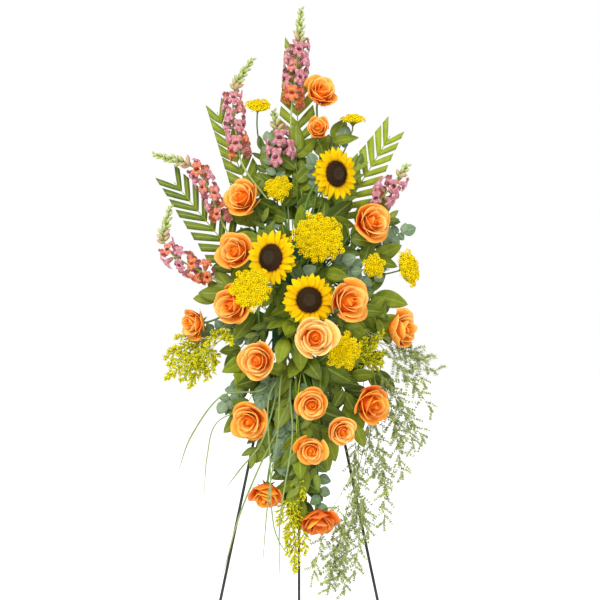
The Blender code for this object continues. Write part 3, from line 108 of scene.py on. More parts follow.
floor_mesh = bpy.data.meshes.new("studio_floor")
corners = ((-1, -1), (1, -1), (1, 1), (-1, 1))
floor_corners = [(x * FLOOR_HALF, y * FLOOR_HALF, -FLOOR_DROP) for x, y in corners]
floor_mesh.from_pydata(floor_corners, [], [(0, 1, 2, 3)])
floor = bpy.data.objects.new("studio_floor", floor_mesh)
bpy.context.scene.collection.objects.link(floor)
print("lights", [light.name for light in bpy.data.lights])

# %% [markdown]
# ## Places and directions
# The flowers were placed from the photograph, in a view 600 steps wide and high. One step is
# 2.1 mm on the spray. `seen_at` turns such a place, and how far forward it stands, into metres. It could
# be done by hand for every bloom, but then nothing would follow when the easel's lean changes.

# %% Places and directions
LEAN = math.radians(12.0)
FRONT_FEET_Y = -0.278
VIEW_STEP = 0.0021
VIEW_CENTRE_RIGHT = 299.0
VIEW_CENTRE_DOWN = 300.0
# How often a height and a depth that hang on each other are worked out again
VIEW_PASSES = 3
ACROSS = Vector((1.0, 0.0, 0.0))
UP = Vector((0.0, math.sin(LEAN), math.cos(LEAN)))
OUT = Vector((0.0, -math.cos(LEAN), math.sin(LEAN)))
TO_VIEWER = Vector((0.0, -1.0, 0.0))
STRAIGHT_UP = Vector((0.0, 0.0, 1.0))


def easel_y(height):
    """Y of the easel's leaning front plane at a height."""
    return FRONT_FEET_Y + math.tan(LEAN) * height


BOARD_CENTRE = Vector((0.0, easel_y(FOAM_HEIGHT), FOAM_HEIGHT))


def on_board(across, up, out):
    """Point measured from the foam's middle: across, up along the lean, and out from the easel's plane."""
    return BOARD_CENTRE + ACROSS * across + UP * up + OUT * out


def seen_at(right, down, forward):
    """Point seen at (right, down) in the view, standing `forward` metres in front of the easel's plane."""
    scale = 1.0
    for _ in range(VIEW_PASSES):
        z = FOAM_HEIGHT + (VIEW_CENTRE_DOWN - down) * VIEW_STEP * scale
        y = easel_y(z) - forward
        scale = 1.0 + (y - VIEW_PLANE_Y) / VIEW_DISTANCE
    return Vector(((right - VIEW_CENTRE_RIGHT) * VIEW_STEP * scale, y, z))


print("foam's middle", tuple(round(c, 3) for c in BOARD_CENTRE))

# %% [markdown]
# A bloom looks some way to the side and up, and a petal stands round its bloom. One could turn every
# object by its rotation values, but a direction and a matrix say it in one step, for blooms and leaves
# alike.

# %% Turning and aiming
# Above this Z, a direction is too near upright for the upright to be its guide
NEARLY_UPRIGHT = 0.95
GOLDEN_TURN = math.radians(137.5)


def spoke(turn, reach=1.0, height=0.0):
    """Point at a turn round +Z, `reach` away from it and `height` up."""
    return Vector((reach * math.cos(turn), reach * math.sin(turn), height))


def towards(turn, lift):
    """Unit vector to the viewer, turned to the right and lifted up, in degrees."""
    turn, lift = math.radians(turn), math.radians(lift)
    return Vector((math.sin(turn) * math.cos(lift), -math.cos(turn) * math.cos(lift), math.sin(lift)))


def aim(point, facing, spin=0.0):
    """Matrix that carries +Z to `facing` at `point`, with +Y as nearly upright as it can be."""
    z_axis = facing.normalized()
    guide = STRAIGHT_UP if abs(z_axis.z) < NEARLY_UPRIGHT else Vector((0.0, 1.0, 0.0))
    x_axis = guide.cross(z_axis).normalized()
    turned = Matrix((x_axis, z_axis.cross(x_axis), z_axis)).transposed()
    return Matrix.Translation(point) @ turned.to_4x4() @ Matrix.Rotation(spin, 4, "Z")


def round_about(way, turn):
    """Unit vector across a way, at a turn round it."""
    return Matrix.Rotation(turn, 3, way) @ way.orthogonal().normalized()


print("a bloom that looks 30 to the right", tuple(round(c, 2) for c in towards(30, 0)))

# %% [markdown]
# Stems and branches are paths of points. A curve object with a bevel would draw them too, but later the
# leaves need points and directions at known places along the way, which a list of points gives at once.

# %% Paths


def smooth_path(knots, count):
    """`count` points along a smooth curve through the knots."""
    ends = [knots[0] * 2 - knots[1]] + list(knots) + [knots[-1] * 2 - knots[-2]]
    path = []
    for step in range(count):
        at = step / (count - 1) * (len(knots) - 1)
        leg = min(int(at), len(knots) - 2)
        t = at - leg
        a, b, c, d = ends[leg : leg + 4]
        square = (2 * a - 5 * b + 4 * c - d) * t**2
        cube = (3 * b - a - 3 * c + d) * t**3
        path.append(0.5 * (2 * b + (c - a) * t + square + cube))
    return path


def arc_path(start, start_pull, end, end_pull, count):
    """`count` points of the curve that leaves `start` along its pull and reaches `end` against its pull."""
    path = []
    for step in range(count):
        t = step / (count - 1)
        s = 1.0 - t
        near = start * s**3 + (start + start_pull) * 3 * s * s * t
        path.append(near + (end + end_pull) * 3 * s * t * t + end * t**3)
    return path


def points_along(path, distances):
    """Points at distances along a path from its start, each with the direction back to the start."""
    lengths = [0.0]
    for a, b in zip(path, path[1:]):
        lengths.append(lengths[-1] + (b - a).length)
    found = []
    for distance in distances:
        distance = min(distance, lengths[-1] - 1e-6)
        step = max(k for k in range(len(path) - 1) if lengths[k] <= distance)
        share = (distance - lengths[step]) / (lengths[step + 1] - lengths[step])
        found.append((path[step].lerp(path[step + 1], share), (path[step] - path[step + 1]).normalized()))
    return found


def point_at(path, at):
    """Point at a number of legs along a path, and the leg that it is on."""
    leg = min(int(at), len(path) - 2)
    return path[leg].lerp(path[leg + 1], at - leg), leg


def path_length(path):
    """Length of a path."""
    return sum((b - a).length for a, b in zip(path, path[1:]))


print("points of an arc", len(arc_path(BOARD_CENTRE, UP, BOARD_CENTRE + OUT, UP, 5)))


# %% [markdown]
# ## Sheets and tubes
# Everything that grows here is a thin sheet, such as a petal or a leaf, or a round tube, such as a stem.
# One could model a petal by hand and copy it, but no two real petals are alike. So a petal is a formula:
# `shape(u, v)` gives the point at u from one edge (-1) to the other (1) and v from root (0) to tip (1).
# Each point also keeps where it is on its petal, in the attribute `place`, so that a material can colour
# the tip otherwise than the root.

# %% Sheets and tubes
# Any direction that no stem follows, from which the points round a tube are counted
TUBE_GUIDE = Vector((0.32, 0.51, 0.8))


class Cutting:
    """Points, faces and places of a piece while it is being drawn."""

    def __init__(self):
        self.points = []
        self.faces = []
        self.places = []

    def sheet(self, shape, across, along, layer, draw):
        """Adds a grid of faces; each point keeps (v, layer, draw, u)."""
        start = len(self.points)
        for j in range(along + 1):
            v = j / along
            for i in range(across + 1):
                u = 2 * i / across - 1
                self.points.append(shape(u, v))
                self.places.append((v, layer, draw, u * 0.5 + 0.5))
        row = across + 1
        for j in range(along):
            for i in range(across):
                a = start + j * row + i
                self.faces.append((a, a + 1, a + 1 + row, a + row))

    def body(self, rings, layer, draw):
        """Adds a closed body through rings of points, each with as many points."""
        start, sides, last = len(self.points), len(rings[0]), len(rings) - 1
        for j, ring in enumerate(rings):
            self.points += ring
            self.places += [(j / last, layer, draw, k / sides) for k in range(sides)]
        end = start + last * sides
        for first in range(start, end, sides):
            for k in range(sides):
                a, b = first + k, first + (k + 1) % sides
                self.faces.append((a, b, b + sides, a + sides))
        self.faces.append(tuple(reversed(range(start, start + sides))))
        self.faces.append(tuple(range(end, end + sides)))

    def tube(self, path, radius, sides=6, layer=0.0, draw=0.5):
        """Adds a closed round tube; `radius` is a number or a function of the share of the way."""
        turns = [math.tau * k / sides for k in range(sides)]
        normal = TUBE_GUIDE
        last = len(path) - 1
        rings = []
        for j, point in enumerate(path):
            ahead = (path[min(j + 1, last)] - path[max(j - 1, 0)]).normalized()
            normal = (normal - ahead * normal.dot(ahead)).normalized()
            side = ahead.cross(normal)
            here = radius(j / last) if callable(radius) else radius
            rings.append([point + (normal * math.cos(turn) + side * math.sin(turn)) * here for turn in turns])
        self.body(rings, layer, draw)

    def knob(self, matrix, sides, layer, draw, profile):
        """Adds a small round body, such as a bud, through rings (radius, height) round the matrix's +Z."""
        rings = []
        for j, (reach, height) in enumerate(profile):
            turns = [math.tau * (k + 0.5 * j) / sides for k in range(sides)]
            rings.append([matrix @ spoke(turn, reach, height) for turn in turns])
        self.body(rings, layer, draw)

    def spike(self, foot, tip, radius, layer, draw):
        """Adds a thin three-sided spike, such as a needle."""
        start = len(self.points)
        ahead = (tip - foot).normalized()
        normal = ahead.orthogonal().normalized() * radius
        side = ahead.cross(normal)
        back, aside = foot - normal * 0.5, side * 0.87
        self.points += [foot + normal, back + aside, back - aside, tip]
        self.places += [(0.0, layer, draw, 0.0)] * 3 + [(1.0, layer, draw, 0.5)]
        a, b, c, top = range(start, start + 4)
        self.faces += [(c, b, a), (a, b, top), (b, c, top), (c, a, top)]


def scaled(profile, size):
    """Rings of a knob, from shares of its size."""
    return [(size * radius, size * height) for radius, height in profile]


sample = Cutting()
sample.tube([BOARD_CENTRE, BOARD_CENTRE + UP], 0.001)
print("faces of a short tube", len(sample.faces))

# %% [markdown]
# A cutting becomes an object in one step. The thickness of petals and leaves could be drawn into the points
# as well, but a modifier adds it evenly and leaves the formula simple. Every piece rides on the body that
# it belongs to.

# %% Grow a piece
PETAL_THICKNESS = 0.0006
LEAF_THICKNESS = 0.0007


def grow(name, cutting, material, body="spray", thickness=0.0):
    """Makes the object of a cutting and lets it ride on a body; a sheet gets a thickness."""
    mesh = bpy.data.meshes.new(name)
    mesh.from_pydata([tuple(point) for point in cutting.points], [], cutting.faces)
    place = mesh.attributes.new("place", "FLOAT_COLOR", "POINT")
    place.data.foreach_set("color", [value for entry in cutting.places for value in entry])
    mesh.materials.append(material)
    mesh.shade_smooth()
    piece = bpy.data.objects.new(name, mesh)
    bpy.context.scene.collection.objects.link(piece)
    if thickness:
        solid = piece.modifiers.new("thickness", "SOLIDIFY")
        solid.thickness = thickness
        solid.offset = 0.0
    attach(piece, body)
    return piece


print("thickness of a petal in mm", PETAL_THICKNESS * 1000)


# %% [markdown]
# ## Finishes
# A petal is never one colour: it is paler at the rim, deeper at the root, and finely veined. One could
# paint an image, but a procedural material keeps its detail at any distance. Every finish here is the
# same recipe: a colour ramp along the petal or leaf, a second mix from piece to piece, mottling from a
# noise, and a bump of veins.

# %% Finishes
BLACK, WHITE = (0.0, 0.0, 0.0), (1.0, 1.0, 1.0)
GLOW_DEPTH = 0.004
# Sockets of the mix node that hold colours; it has others for numbers and vectors
MIX_FACTOR, MIX_FIRST, MIX_SECOND, MIX_RESULT = 0, 6, 7, 2


class Places(NamedTuple):
    """Sockets that say where a point is: root to tip, layer, random draw, and edge to edge."""

    v: bpy.types.NodeSocket
    layer: bpy.types.NodeSocket
    draw: bpy.types.NodeSocket
    u: bpy.types.NodeSocket


class Finish:
    """A Principled material and the few node moves that every finish here needs."""

    def __init__(self, name, roughness, gloss=0.5, glow=0.0, metal=0.0):
        self.material = bpy.data.materials.new(name)
        self.material.use_nodes = True
        self.tree = self.material.node_tree
        self.shader = self.tree.nodes["Principled BSDF"]
        self.shader.inputs["Roughness"].default_value = roughness
        self.shader.inputs["Specular IOR Level"].default_value = gloss
        self.shader.inputs["Metallic"].default_value = metal
        if glow:
            self.shader.inputs["Subsurface Weight"].default_value = glow
            self.shader.inputs["Subsurface Scale"].default_value = GLOW_DEPTH

    def node(self, kind, **inputs):
        """New node with values for its inputs, by name."""
        node = self.tree.nodes.new(kind)
        for key, value in inputs.items():
            node.inputs[key].default_value = value
        return node

    def link(self, source, target):
        self.tree.links.new(source, target)

    def places(self):
        """The sockets of the attribute that `grow` wrote."""
        attribute = self.tree.nodes.new("ShaderNodeAttribute")
        attribute.attribute_name = "place"
        parts = self.tree.nodes.new("ShaderNodeSeparateColor")
        self.link(attribute.outputs["Color"], parts.inputs["Color"])
        return Places(*(parts.outputs[part] for part in ("Red", "Green", "Blue")), attribute.outputs["Alpha"])

    def noise(self, scale, detail=3.0):
        """Soft random patches, smaller as the scale grows."""
        texture = self.node("ShaderNodeTexNoise", Scale=scale, Detail=detail)
        position = self.tree.nodes.new("ShaderNodeTexCoord")
        self.link(position.outputs["Object"], texture.inputs["Vector"])
        return texture.outputs["Fac"]

    def ramp(self, source, stops):
        """Colours at positions 0 to 1 along a socket."""
        ramp = self.tree.nodes.new("ShaderNodeValToRGB")
        elements = ramp.color_ramp.elements
        while len(elements) < len(stops):
            elements.new(0.5)
        for element, (position, colour) in zip(elements, stops):
            element.position = position
            element.color = (*colour, 1.0)
        self.link(source, ramp.inputs["Fac"])
        return ramp.outputs["Color"]

    def mix(self, factor, first, second, mode="MIX"):
        """Mix of two colours, each of which is a socket or a colour."""
        mix = self.tree.nodes.new("ShaderNodeMix")
        mix.data_type = "RGBA"
        mix.blend_type = mode
        for index, value in ((MIX_FACTOR, factor), (MIX_FIRST, first), (MIX_SECOND, second)):
            if isinstance(value, bpy.types.NodeSocket):
                self.link(value, mix.inputs[index])
            else:
                mix.inputs[index].default_value = value if isinstance(value, float) else (*value, 1.0)
        return mix.outputs[MIX_RESULT]

    def patchy(self, scale, low, high):
        """Two colours that take turns in the patches of a noise."""
        return self.ramp(self.noise(scale), ((0.3, low), (0.7, high)))

    def mottled(self, colour, scale, amount):
        """The colour made lighter and darker in patches by a noise."""
        patches = self.patchy(scale, (1.0 - amount,) * 3, (1.0 + amount * 0.4,) * 3)
        return self.mix(1.0, colour, patches, "MULTIPLY")

    def veins(self, u, v, lines, height, distance):
        """Bump of fine lines that fan out from root to tip."""
        wave = self.node("ShaderNodeTexWave", Scale=lines, Distortion=1.2, Detail=2.0)
        wave.bands_direction = "X"
        both = self.tree.nodes.new("ShaderNodeCombineXYZ")
        self.link(u, both.inputs["X"])
        self.link(v, both.inputs["Y"])
        self.link(both.outputs["Vector"], wave.inputs["Vector"])
        self.bump(wave.outputs["Fac"], height, distance)
        return wave.outputs["Fac"]

    def bump(self, source, strength, distance):
        """Relief of the surface from a socket."""
        bump = self.node("ShaderNodeBump", Strength=strength, Distance=distance)
        self.link(source, bump.inputs["Height"])
        self.link(bump.outputs["Normal"], self.shader.inputs["Normal"])

    def colour(self, socket):
        """Gives the finish its colour and returns the material."""
        self.link(socket, self.shader.inputs["Base Color"])
        return self.material

    def between(self, first, second, grain, amount):
        """Colours the finish between two ramps along a piece, by its draw, and returns the material."""
        at = self.places()
        both = self.mix(at.draw, self.ramp(at.v, first), self.ramp(at.v, second))
        return self.colour(self.mottled(both, grain, amount))


def floor_finish():
    paint = Finish("pale_floor", 0.8)
    paint.shader.inputs["Emission Color"].default_value = (1.0, 1.0, 1.0, 1.0)
    paint.shader.inputs["Emission Strength"].default_value = 0.25
    return paint.colour(paint.ramp(paint.noise(0.3), ((0.4, (0.93, 0.93, 0.93)), (0.6, (0.95, 0.95, 0.95)))))


floor.data.materials.append(floor_finish())
print("floor finish", floor.data.materials[0].name)

# %% [markdown]
# ## The tables of the arrangement
# A florist works from a plan: which bloom goes where, how far forward it stands and where it looks. The
# plan could be random, but this one follows the photograph, bloom by bloom. Turn and lift are degrees.

# %% The tables of the arrangement


class Bloom(NamedTuple):
    """Bloom on a bunch of stems: its place as seen, width, where it looks, how pale and how open it is."""

    stems: str
    right: float
    down: float
    forward: float
    width: float
    turn: float
    lift: float
    pale: float = 0.5
    open: float = 1.0

    def facing(self):
        """Unit vector in which the bloom looks."""
        return towards(self.turn, self.lift)

    def place(self, height):
        """Matrix of the bloom, whose point seen at (right, down) is `height` above its base."""
        centre = seen_at(self.right, self.down, self.forward)
        return aim(centre - self.facing() * height, self.facing(), spin=self.right + self.down)


ROSES = {
    "rose_01": Bloom("stems_top", 322, 90, 0.085, 0.084, 18, 32, 0.35),
    "rose_02": Bloom("stems_top", 318, 128, 0.095, 0.070, -6, 24, 0.45, 0.62),
    "rose_03": Bloom("stems_upper_left", 241, 197, 0.100, 0.094, -28, 14, 0.40),
    "rose_04": Bloom("stems_upper_left", 234, 251, 0.120, 0.090, -24, 10, 0.45),
    "rose_05": Bloom("stems_upper_right", 374, 221, 0.110, 0.098, 32, 12, 0.45),
    "rose_06": Bloom("stems_left", 230, 305, 0.095, 0.094, -34, 2, 0.55),
    "rose_07": Bloom("stems_left", 191, 324, 0.060, 0.074, -52, -4, 0.40),
    "rose_08": Bloom("stems_centre", 351, 301, 0.205, 0.102, 30, 4, 0.50),
    "rose_09": Bloom("stems_centre", 315, 338, 0.245, 0.098, 4, 0, 1.00),
    "rose_10": Bloom("stems_upper_right", 405, 329, 0.070, 0.094, 58, 4, 0.45),
    "rose_11": Bloom("stems_left", 257, 361, 0.125, 0.091, -16, -4, 0.70),
    "rose_12": Bloom("stems_lower", 312, 405, 0.135, 0.076, 2, -6, 0.55),
    "rose_13": Bloom("stems_lower", 374, 406, 0.095, 0.096, 36, -10, 0.15),
    "rose_14": Bloom("stems_lower", 343, 432, 0.105, 0.068, 14, -10, 0.65),
    "rose_15": Bloom("stems_lower", 248, 422, 0.095, 0.089, -20, -14, 0.35),
    "rose_16": Bloom("stems_lower", 311, 451, 0.100, 0.072, 0, -14, 0.50),
    "rose_17": Bloom("stems_lower", 266, 498, 0.055, 0.082, -8, -58, 0.05),
    "rose_18": Bloom("stems_lower", 319, 525, 0.055, 0.084, 14, -52, 0.00),
}
SUNFLOWERS = {
    "sunflower_1": Bloom("stems_top", 335, 174, 0.142, 0.118, 38, 2),
    "sunflower_2": Bloom("stems_centre", 272, 258, 0.178, 0.124, -34, 4),
    "sunflower_3": Bloom("stems_centre", 309, 300, 0.185, 0.114, 2, 2),
}
YARROWS = {
    "yarrow_1": Bloom("stems_top", 258, 106, 0.080, 0.056, 10, 60),
    "yarrow_2": Bloom("stems_top", 353, 120, 0.055, 0.052, 10, 76),
    "yarrow_3": Bloom("stems_upper_left", 278, 188, 0.095, 0.062, -4, 30),
    "yarrow_4": Bloom("stems_centre", 318, 238, 0.150, 0.116, 8, 16),
    "yarrow_5": Bloom("stems_centre", 251, 289, 0.198, 0.090, -14, 2),
    "yarrow_6": Bloom("stems_upper_right", 374, 266, 0.100, 0.052, 22, 8),
    "yarrow_7": Bloom("stems_upper_right", 408, 268, 0.060, 0.082, 58, 14),
    "yarrow_8": Bloom("stems_centre", 344, 351, 0.165, 0.078, 18, -10),
}
# Height of the point that is seen, over the bloom's base, in shares of its width
ROSE_MIDDLE = 0.35
YARROW_MIDDLE = 0.30
# Half the thickness of a sunflower's hub, and the gap between a bloom and its stem or disc
HUB_HALF = 0.0030
GAP = 0.0003
print("blooms", len(ROSES), len(SUNFLOWERS), len(YARROWS))

# %% [markdown]
# Greens must not hang in front of a bloom or grow through it. So the places of all blooms are kept in one
# list, and every leaf that is placed by a rule is tested against it later.

# %% Places to keep clear
# How far a bloom covers the greens, round its middle and behind it, in shares of its width
BLOOM_REACH = 0.48
BLOOM_DEPTH = 0.20


class Clear(NamedTuple):
    """Round area in the view, in front of whose Y nothing green may stand."""

    right: float
    down: float
    reach: float
    y: float


KEEP_CLEAR = []
for table in (ROSES, SUNFLOWERS, YARROWS):
    for bloom in table.values():
        behind = seen_at(bloom.right, bloom.down, bloom.forward).y + bloom.width * BLOOM_DEPTH
        KEEP_CLEAR.append(Clear(bloom.right, bloom.down, bloom.width * BLOOM_REACH, behind))


def covers(point):
    """Tells whether a point stands in front of a bloom or in it."""
    step = VIEW_STEP * (1.0 + (point.y - VIEW_PLANE_Y) / VIEW_DISTANCE)
    right = VIEW_CENTRE_RIGHT + point.x / step
    down = VIEW_CENTRE_DOWN + (FOAM_HEIGHT - point.z) / step
    for area in KEEP_CLEAR:
        aside = math.hypot(right - area.right, down - area.down) * VIEW_STEP
        if aside < area.reach and point.y < area.y:
            return True
    return False


print("places to keep clear", len(KEEP_CLEAR))

# %% [markdown]
# ## Roses
# A garden rose opens from a tight spiral: the heart's petals wrap nearly all the way round, and the
# outer ones are broad, cupped, and roll out at the rim. It could be sculpted once and copied. Here each
# rose grows its petals at the golden angle, so every head differs, as they do in the photograph. The
# orange deepens to red at the heart, and pale peach shows along the rolled rims.

# %% Rose petals
ROSE_PETALS = 17
# Rings of the tight heart under the petals, in shares of the rose's width
ROSE_CORE = ((0.20, 0.03), (0.22, 0.18), (0.15, 0.28), (0.08, 0.36), (0.03, 0.42), (0.008, 0.45))


def rose_petal(width, layer, turn, opened, draw):
    """Shape of one petal, from the heart (layer 0) to the outside (layer 1)."""
    foot = width * 0.05
    reach = width * (0.045 + 0.365 * layer * (0.3 + 0.7 * opened)) * draw.uniform(0.90, 1.06)
    tall = width * (0.58 - 0.22 * layer**1.3 * opened) * draw.uniform(0.90, 1.06)
    half_turn = 1.6 - 0.78 * layer
    closed = max(0.0, 1.0 - 4.0 * layer)
    ripple = draw.uniform(0.0, math.tau)
    slack = draw.uniform(0.5, 1.5) * opened
    turn += draw.uniform(-0.35, 0.35)

    def shape(u, v):
        rounded = 1.0 - 0.36 * abs(u) ** 2.0 * v + 0.16 * layer * (1.0 - abs(u)) ** 2 * v**4
        radius = foot + (reach - foot) * math.sin(v * math.pi / 2) ** (0.75 + 0.25 * layer)
        roll = max(0.0, (v - 0.62) / 0.38) ** 2 * (0.15 + 0.85 * layer) * slack
        radius += width * 0.100 * roll * (1.0 - 0.55 * u * u)
        radius *= 1.0 - 0.85 * closed * v * v
        radius *= 1.0 + 0.045 * u + 0.035 * math.sin(3.0 * u + ripple) * v
        height = tall * v ** (0.9 + 0.7 * layer) * rounded - width * 0.060 * roll
        ripples = 0.011 * math.sin(4.0 * u + ripple) + 0.006 * math.sin(9.0 * u - 2.0 * ripple)
        height += width * ripples * v**4
        return spoke(turn + u * half_turn * (0.5 + 0.5 * math.sin(v * math.pi / 2)), radius, height)

    return shape


print("petals of a rose", ROSE_PETALS)

# %% [markdown]
# A rose petal is orange from root to rim, and a paler one is peach. Painting each would take days. Here a
# draw mixes the two, the layer deepens the heart and warms the outside, and the deepest petals turn coral.

# %% Rose finish
DEEP_ORANGE, ORANGE, PALE_ORANGE = (0.90, 0.21, 0.008), (0.97, 0.35, 0.014), (0.98, 0.44, 0.045)
APRICOT, PALE_APRICOT = (0.98, 0.53, 0.10), (0.99, 0.70, 0.28)
ORANGE_PETAL = ((0.0, (0.62, 0.05, 0.002)), (0.5, DEEP_ORANGE), (0.85, ORANGE), (1.0, PALE_ORANGE))
PEACH_PETAL = ((0.0, DEEP_ORANGE), (0.45, PALE_ORANGE), (0.75, APRICOT), (1.0, PALE_APRICOT))
HEART_PETAL = ((0.0, (0.72, 0.09, 0.003)), (0.7, (0.90, 0.19, 0.007)), (1.0, ORANGE))
# Colours that the outermost and the deepest petals are multiplied by
OUTSIDE, CORAL = (1.0, 0.76, 0.45), (0.92, 0.74, 2.4)


def rose_finish():
    petal = Finish("rose_petal", 0.6, gloss=0.12, glow=0.17)
    at = petal.places()
    outer = petal.mix(at.draw, petal.ramp(at.v, ORANGE_PETAL), petal.ramp(at.v, PEACH_PETAL))
    inward = petal.ramp(at.layer, ((0.05, WHITE), (0.40, BLACK)))
    whole = petal.mix(inward, outer, petal.ramp(at.v, HEART_PETAL))
    outside = petal.ramp(at.layer, ((0.55, WHITE), (1.0, OUTSIDE)))
    outside = petal.mix(petal.ramp(at.draw, ((0.7, BLACK), (0.9, WHITE))), outside, WHITE)
    whole = petal.mix(1.0, whole, outside, "MULTIPLY")
    whole = petal.mix(1.0, whole, petal.ramp(at.draw, ((0.0, CORAL), (0.12, WHITE))), "MULTIPLY")
    petal.veins(at.u, at.v, 14.0, 0.25, 0.0006)
    return petal.colour(petal.mottled(whole, 140.0, 0.10))


ROSE_FINISH = rose_finish()
print("finish", ROSE_FINISH.name)

# %% [markdown]
# Now the heads grow. Copies of one head would be quicker, but the eye finds copies at once. One source of
# random numbers with a fixed seed serves all that grows below, so that every run makes the same spray.

# %% Grow the roses
ARRANGEMENT_SEED = 7
PALE_SPREAD = 0.18


def rose(name, bloom, draw):
    """One rose head in its place."""
    head = Cutting()
    place = bloom.place(bloom.width * ROSE_MIDDLE)
    head.knob(place, 14, 0.0, bloom.pale, scaled(ROSE_CORE, bloom.width))
    for k in range(ROSE_PETALS):
        layer = (k / (ROSE_PETALS - 1)) ** 0.8
        shape = rose_petal(bloom.width, layer, GOLDEN_TURN * k, bloom.open, draw)
        pale = min(1.0, max(0.0, bloom.pale + draw.uniform(-PALE_SPREAD, PALE_SPREAD)))
        head.sheet(lambda u, v: place @ shape(u, v), 10, 9, layer, pale)
    grown = grow(f"{name}_petals", head, ROSE_FINISH, thickness=PETAL_THICKNESS)
    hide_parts(name)
    return len(head.points)


draw = random.Random(ARRANGEMENT_SEED)
print("rose points", sum(rose(name, bloom, draw) for name, bloom in ROSES.items()))

# %% [markdown]
# ## Sunflowers
# A sunflower head has two rows of golden rays round a dark seed disc. The disc could be a bump on a dome,
# but its florets stand up from the side, so each one is a small peg here. They sit at the golden angle,
# as real seeds do: every next one is 137.5 degrees on, and the radius grows with the square root.

# %% Sunflower rays
RAYS_A_ROW = 19


def sunflower_ray(radius, turn, row, draw):
    """Shape of one ray petal; row 0 is the front one, row 1 stands behind it."""
    tip = radius * (1.0 - 0.03 * row) * draw.uniform(0.92, 1.0)
    root = radius * 0.36
    half = radius * draw.uniform(0.120, 0.150)
    lift = draw.uniform(-0.002, 0.003) - 0.0055 * row
    twist = draw.uniform(-0.35, 0.35)
    lean = draw.uniform(-0.06, 0.06)

    def shape(u, v):
        wide = half * (math.sin(math.pi * (0.16 + 0.84 * v)) ** 0.65 + 0.03)
        along = root + (tip - root) * v
        aside = u * wide * math.cos(twist * v) + radius * lean * v * v
        rise = HUB_HALF * (1.0 - 1.4 * row) + lift * v + 0.006 * v * (1.0 - v)
        rise += abs(u) ** 1.5 * 0.0022 * math.sin(math.pi * v) + u * wide * math.sin(twist * v)
        return Vector((
            along * math.cos(turn) - aside * math.sin(turn),
            along * math.sin(turn) + aside * math.cos(turn),
            rise,
        ))

    return shape


print("rays of a sunflower", 2 * RAYS_A_ROW)

# %% [markdown]
# The disc is a low dome with a dent in its middle. It could be one shape for all three heads, but its
# height follows from a formula as easily, and the florets need that height for their feet.

# %% Sunflower disc
DISC_SHARE = 0.50
DISC_FLORETS = 420
DISC_RISE = 0.0062
DISC_SWELL = 0.0036
DISC_SINK = 0.0006


def disc_height(share):
    """Height of the disc's surface over the rays, from its middle (0) to its edge (1)."""
    swell = DISC_SWELL * math.sin(math.pi * min(1.0, share * 1.15)) ** 2
    return HUB_HALF + GAP + DISC_RISE + swell - DISC_RISE * share**5


print("disc heights in mm", [round(disc_height(k / 4) * 1000, 1) for k in range(5)])

# %% [markdown]
# Rays are golden with a brown foot, some more lemon than others. The disc has an olive eye, a nearly black
# ring and a warm brown rim. Both could be painted round the middle, but the layer of each floret already
# says how far out it stands, so a ramp along it makes the rings.

# %% Sunflower finishes
DISC_EYE = (0.100, 0.088, 0.058)
DISC_RINGS = (
    (0.0, DISC_EYE),
    (0.42, DISC_EYE),
    (0.52, (0.026, 0.010, 0.003)),
    (0.74, (0.062, 0.023, 0.005)),
    (0.90, (0.105, 0.038, 0.005)),
    (1.0, (0.34, 0.13, 0.006)),
)
DISC_TIPS = (0.15, 0.07, 0.012)
GOLDEN_RAY = ((0.0, (0.30, 0.07, 0.0)), (0.28, (0.93, 0.45, 0.0)), (1.0, (0.98, 0.64, 0.0)))
LEMON_RAY = ((0.0, (0.40, 0.12, 0.0)), (0.34, (0.96, 0.58, 0.0)), (1.0, (1.0, 0.75, 0.003)))


def ray_finish():
    ray = Finish("sunflower_ray", 0.6, gloss=0.08, glow=0.12)
    at = ray.places()
    ray.veins(at.u, at.v, 5.0, 0.6, 0.001)
    return ray.between(GOLDEN_RAY, LEMON_RAY, 90.0, 0.12)


def disc_finish():
    seeds = Finish("sunflower_disc", 0.9, gloss=0.03)
    at = seeds.places()
    tips = seeds.mix(at.draw, seeds.ramp(at.layer, DISC_RINGS), DISC_TIPS)
    seeds.bump(seeds.noise(900.0), 0.4, 0.0008)
    return seeds.colour(seeds.mottled(tips, 400.0, 0.4))


RAY_FINISH = ray_finish()
DISC_FINISH = disc_finish()
print("finishes", RAY_FINISH.name, DISC_FINISH.name)

# %% [markdown]
# The three heads differ in size and direction only. Two rows of rays stand round each, and the florets of
# the disc sit in the spiral of a real one, which the golden turn from one to the next makes.

# %% Grow the sunflowers


def sunflower(name, bloom, draw):
    """Rays and disc of one sunflower."""
    radius = bloom.width / 2
    place = bloom.place(0.0)
    rays = Cutting()
    for row in (1, 0):
        for k in range(RAYS_A_ROW):
            turn = math.tau * (k + 0.5 * row + draw.uniform(-0.15, 0.15)) / RAYS_A_ROW
            shape = sunflower_ray(radius, turn, row, draw)
            rays.sheet(lambda u, v: place @ shape(u, v), 4, 8, row, draw.random())
    grown = grow(f"{name}_petals", rays, RAY_FINISH, thickness=PETAL_THICKNESS)
    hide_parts(f"{name}_rays")
    disc = Cutting()
    wide = radius * DISC_SHARE
    rings = [(wide * 0.9, HUB_HALF + GAP)] + [(wide * k / 8, disc_height(k / 8)) for k in range(8, 0, -1)]
    disc.knob(place, 40, 0.5, 0.0, rings)
    for k in range(DISC_FLORETS):
        share = math.sqrt((k + 0.5) / DISC_FLORETS)
        out = spoke(GOLDEN_TURN * k)
        foot = out * (wide * share) + STRAIGHT_UP * (disc_height(share) - DISC_SINK)
        way = STRAIGHT_UP + out * (1.1 * share**4 - 0.25 * (1.0 - share))
        tall = 0.0016 + 0.0014 * share**2
        peg = ((0.00075, 0.0), (0.00095, tall * 0.7), (0.0003, tall))
        disc.knob(place @ aim(foot, way), 4, share, 0.4 * draw.random(), peg)
    grown = grow(f"{name}_seeds", disc, DISC_FINISH)
    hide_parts(f"{name}_disc")
    return len(rays.points) + len(disc.points)


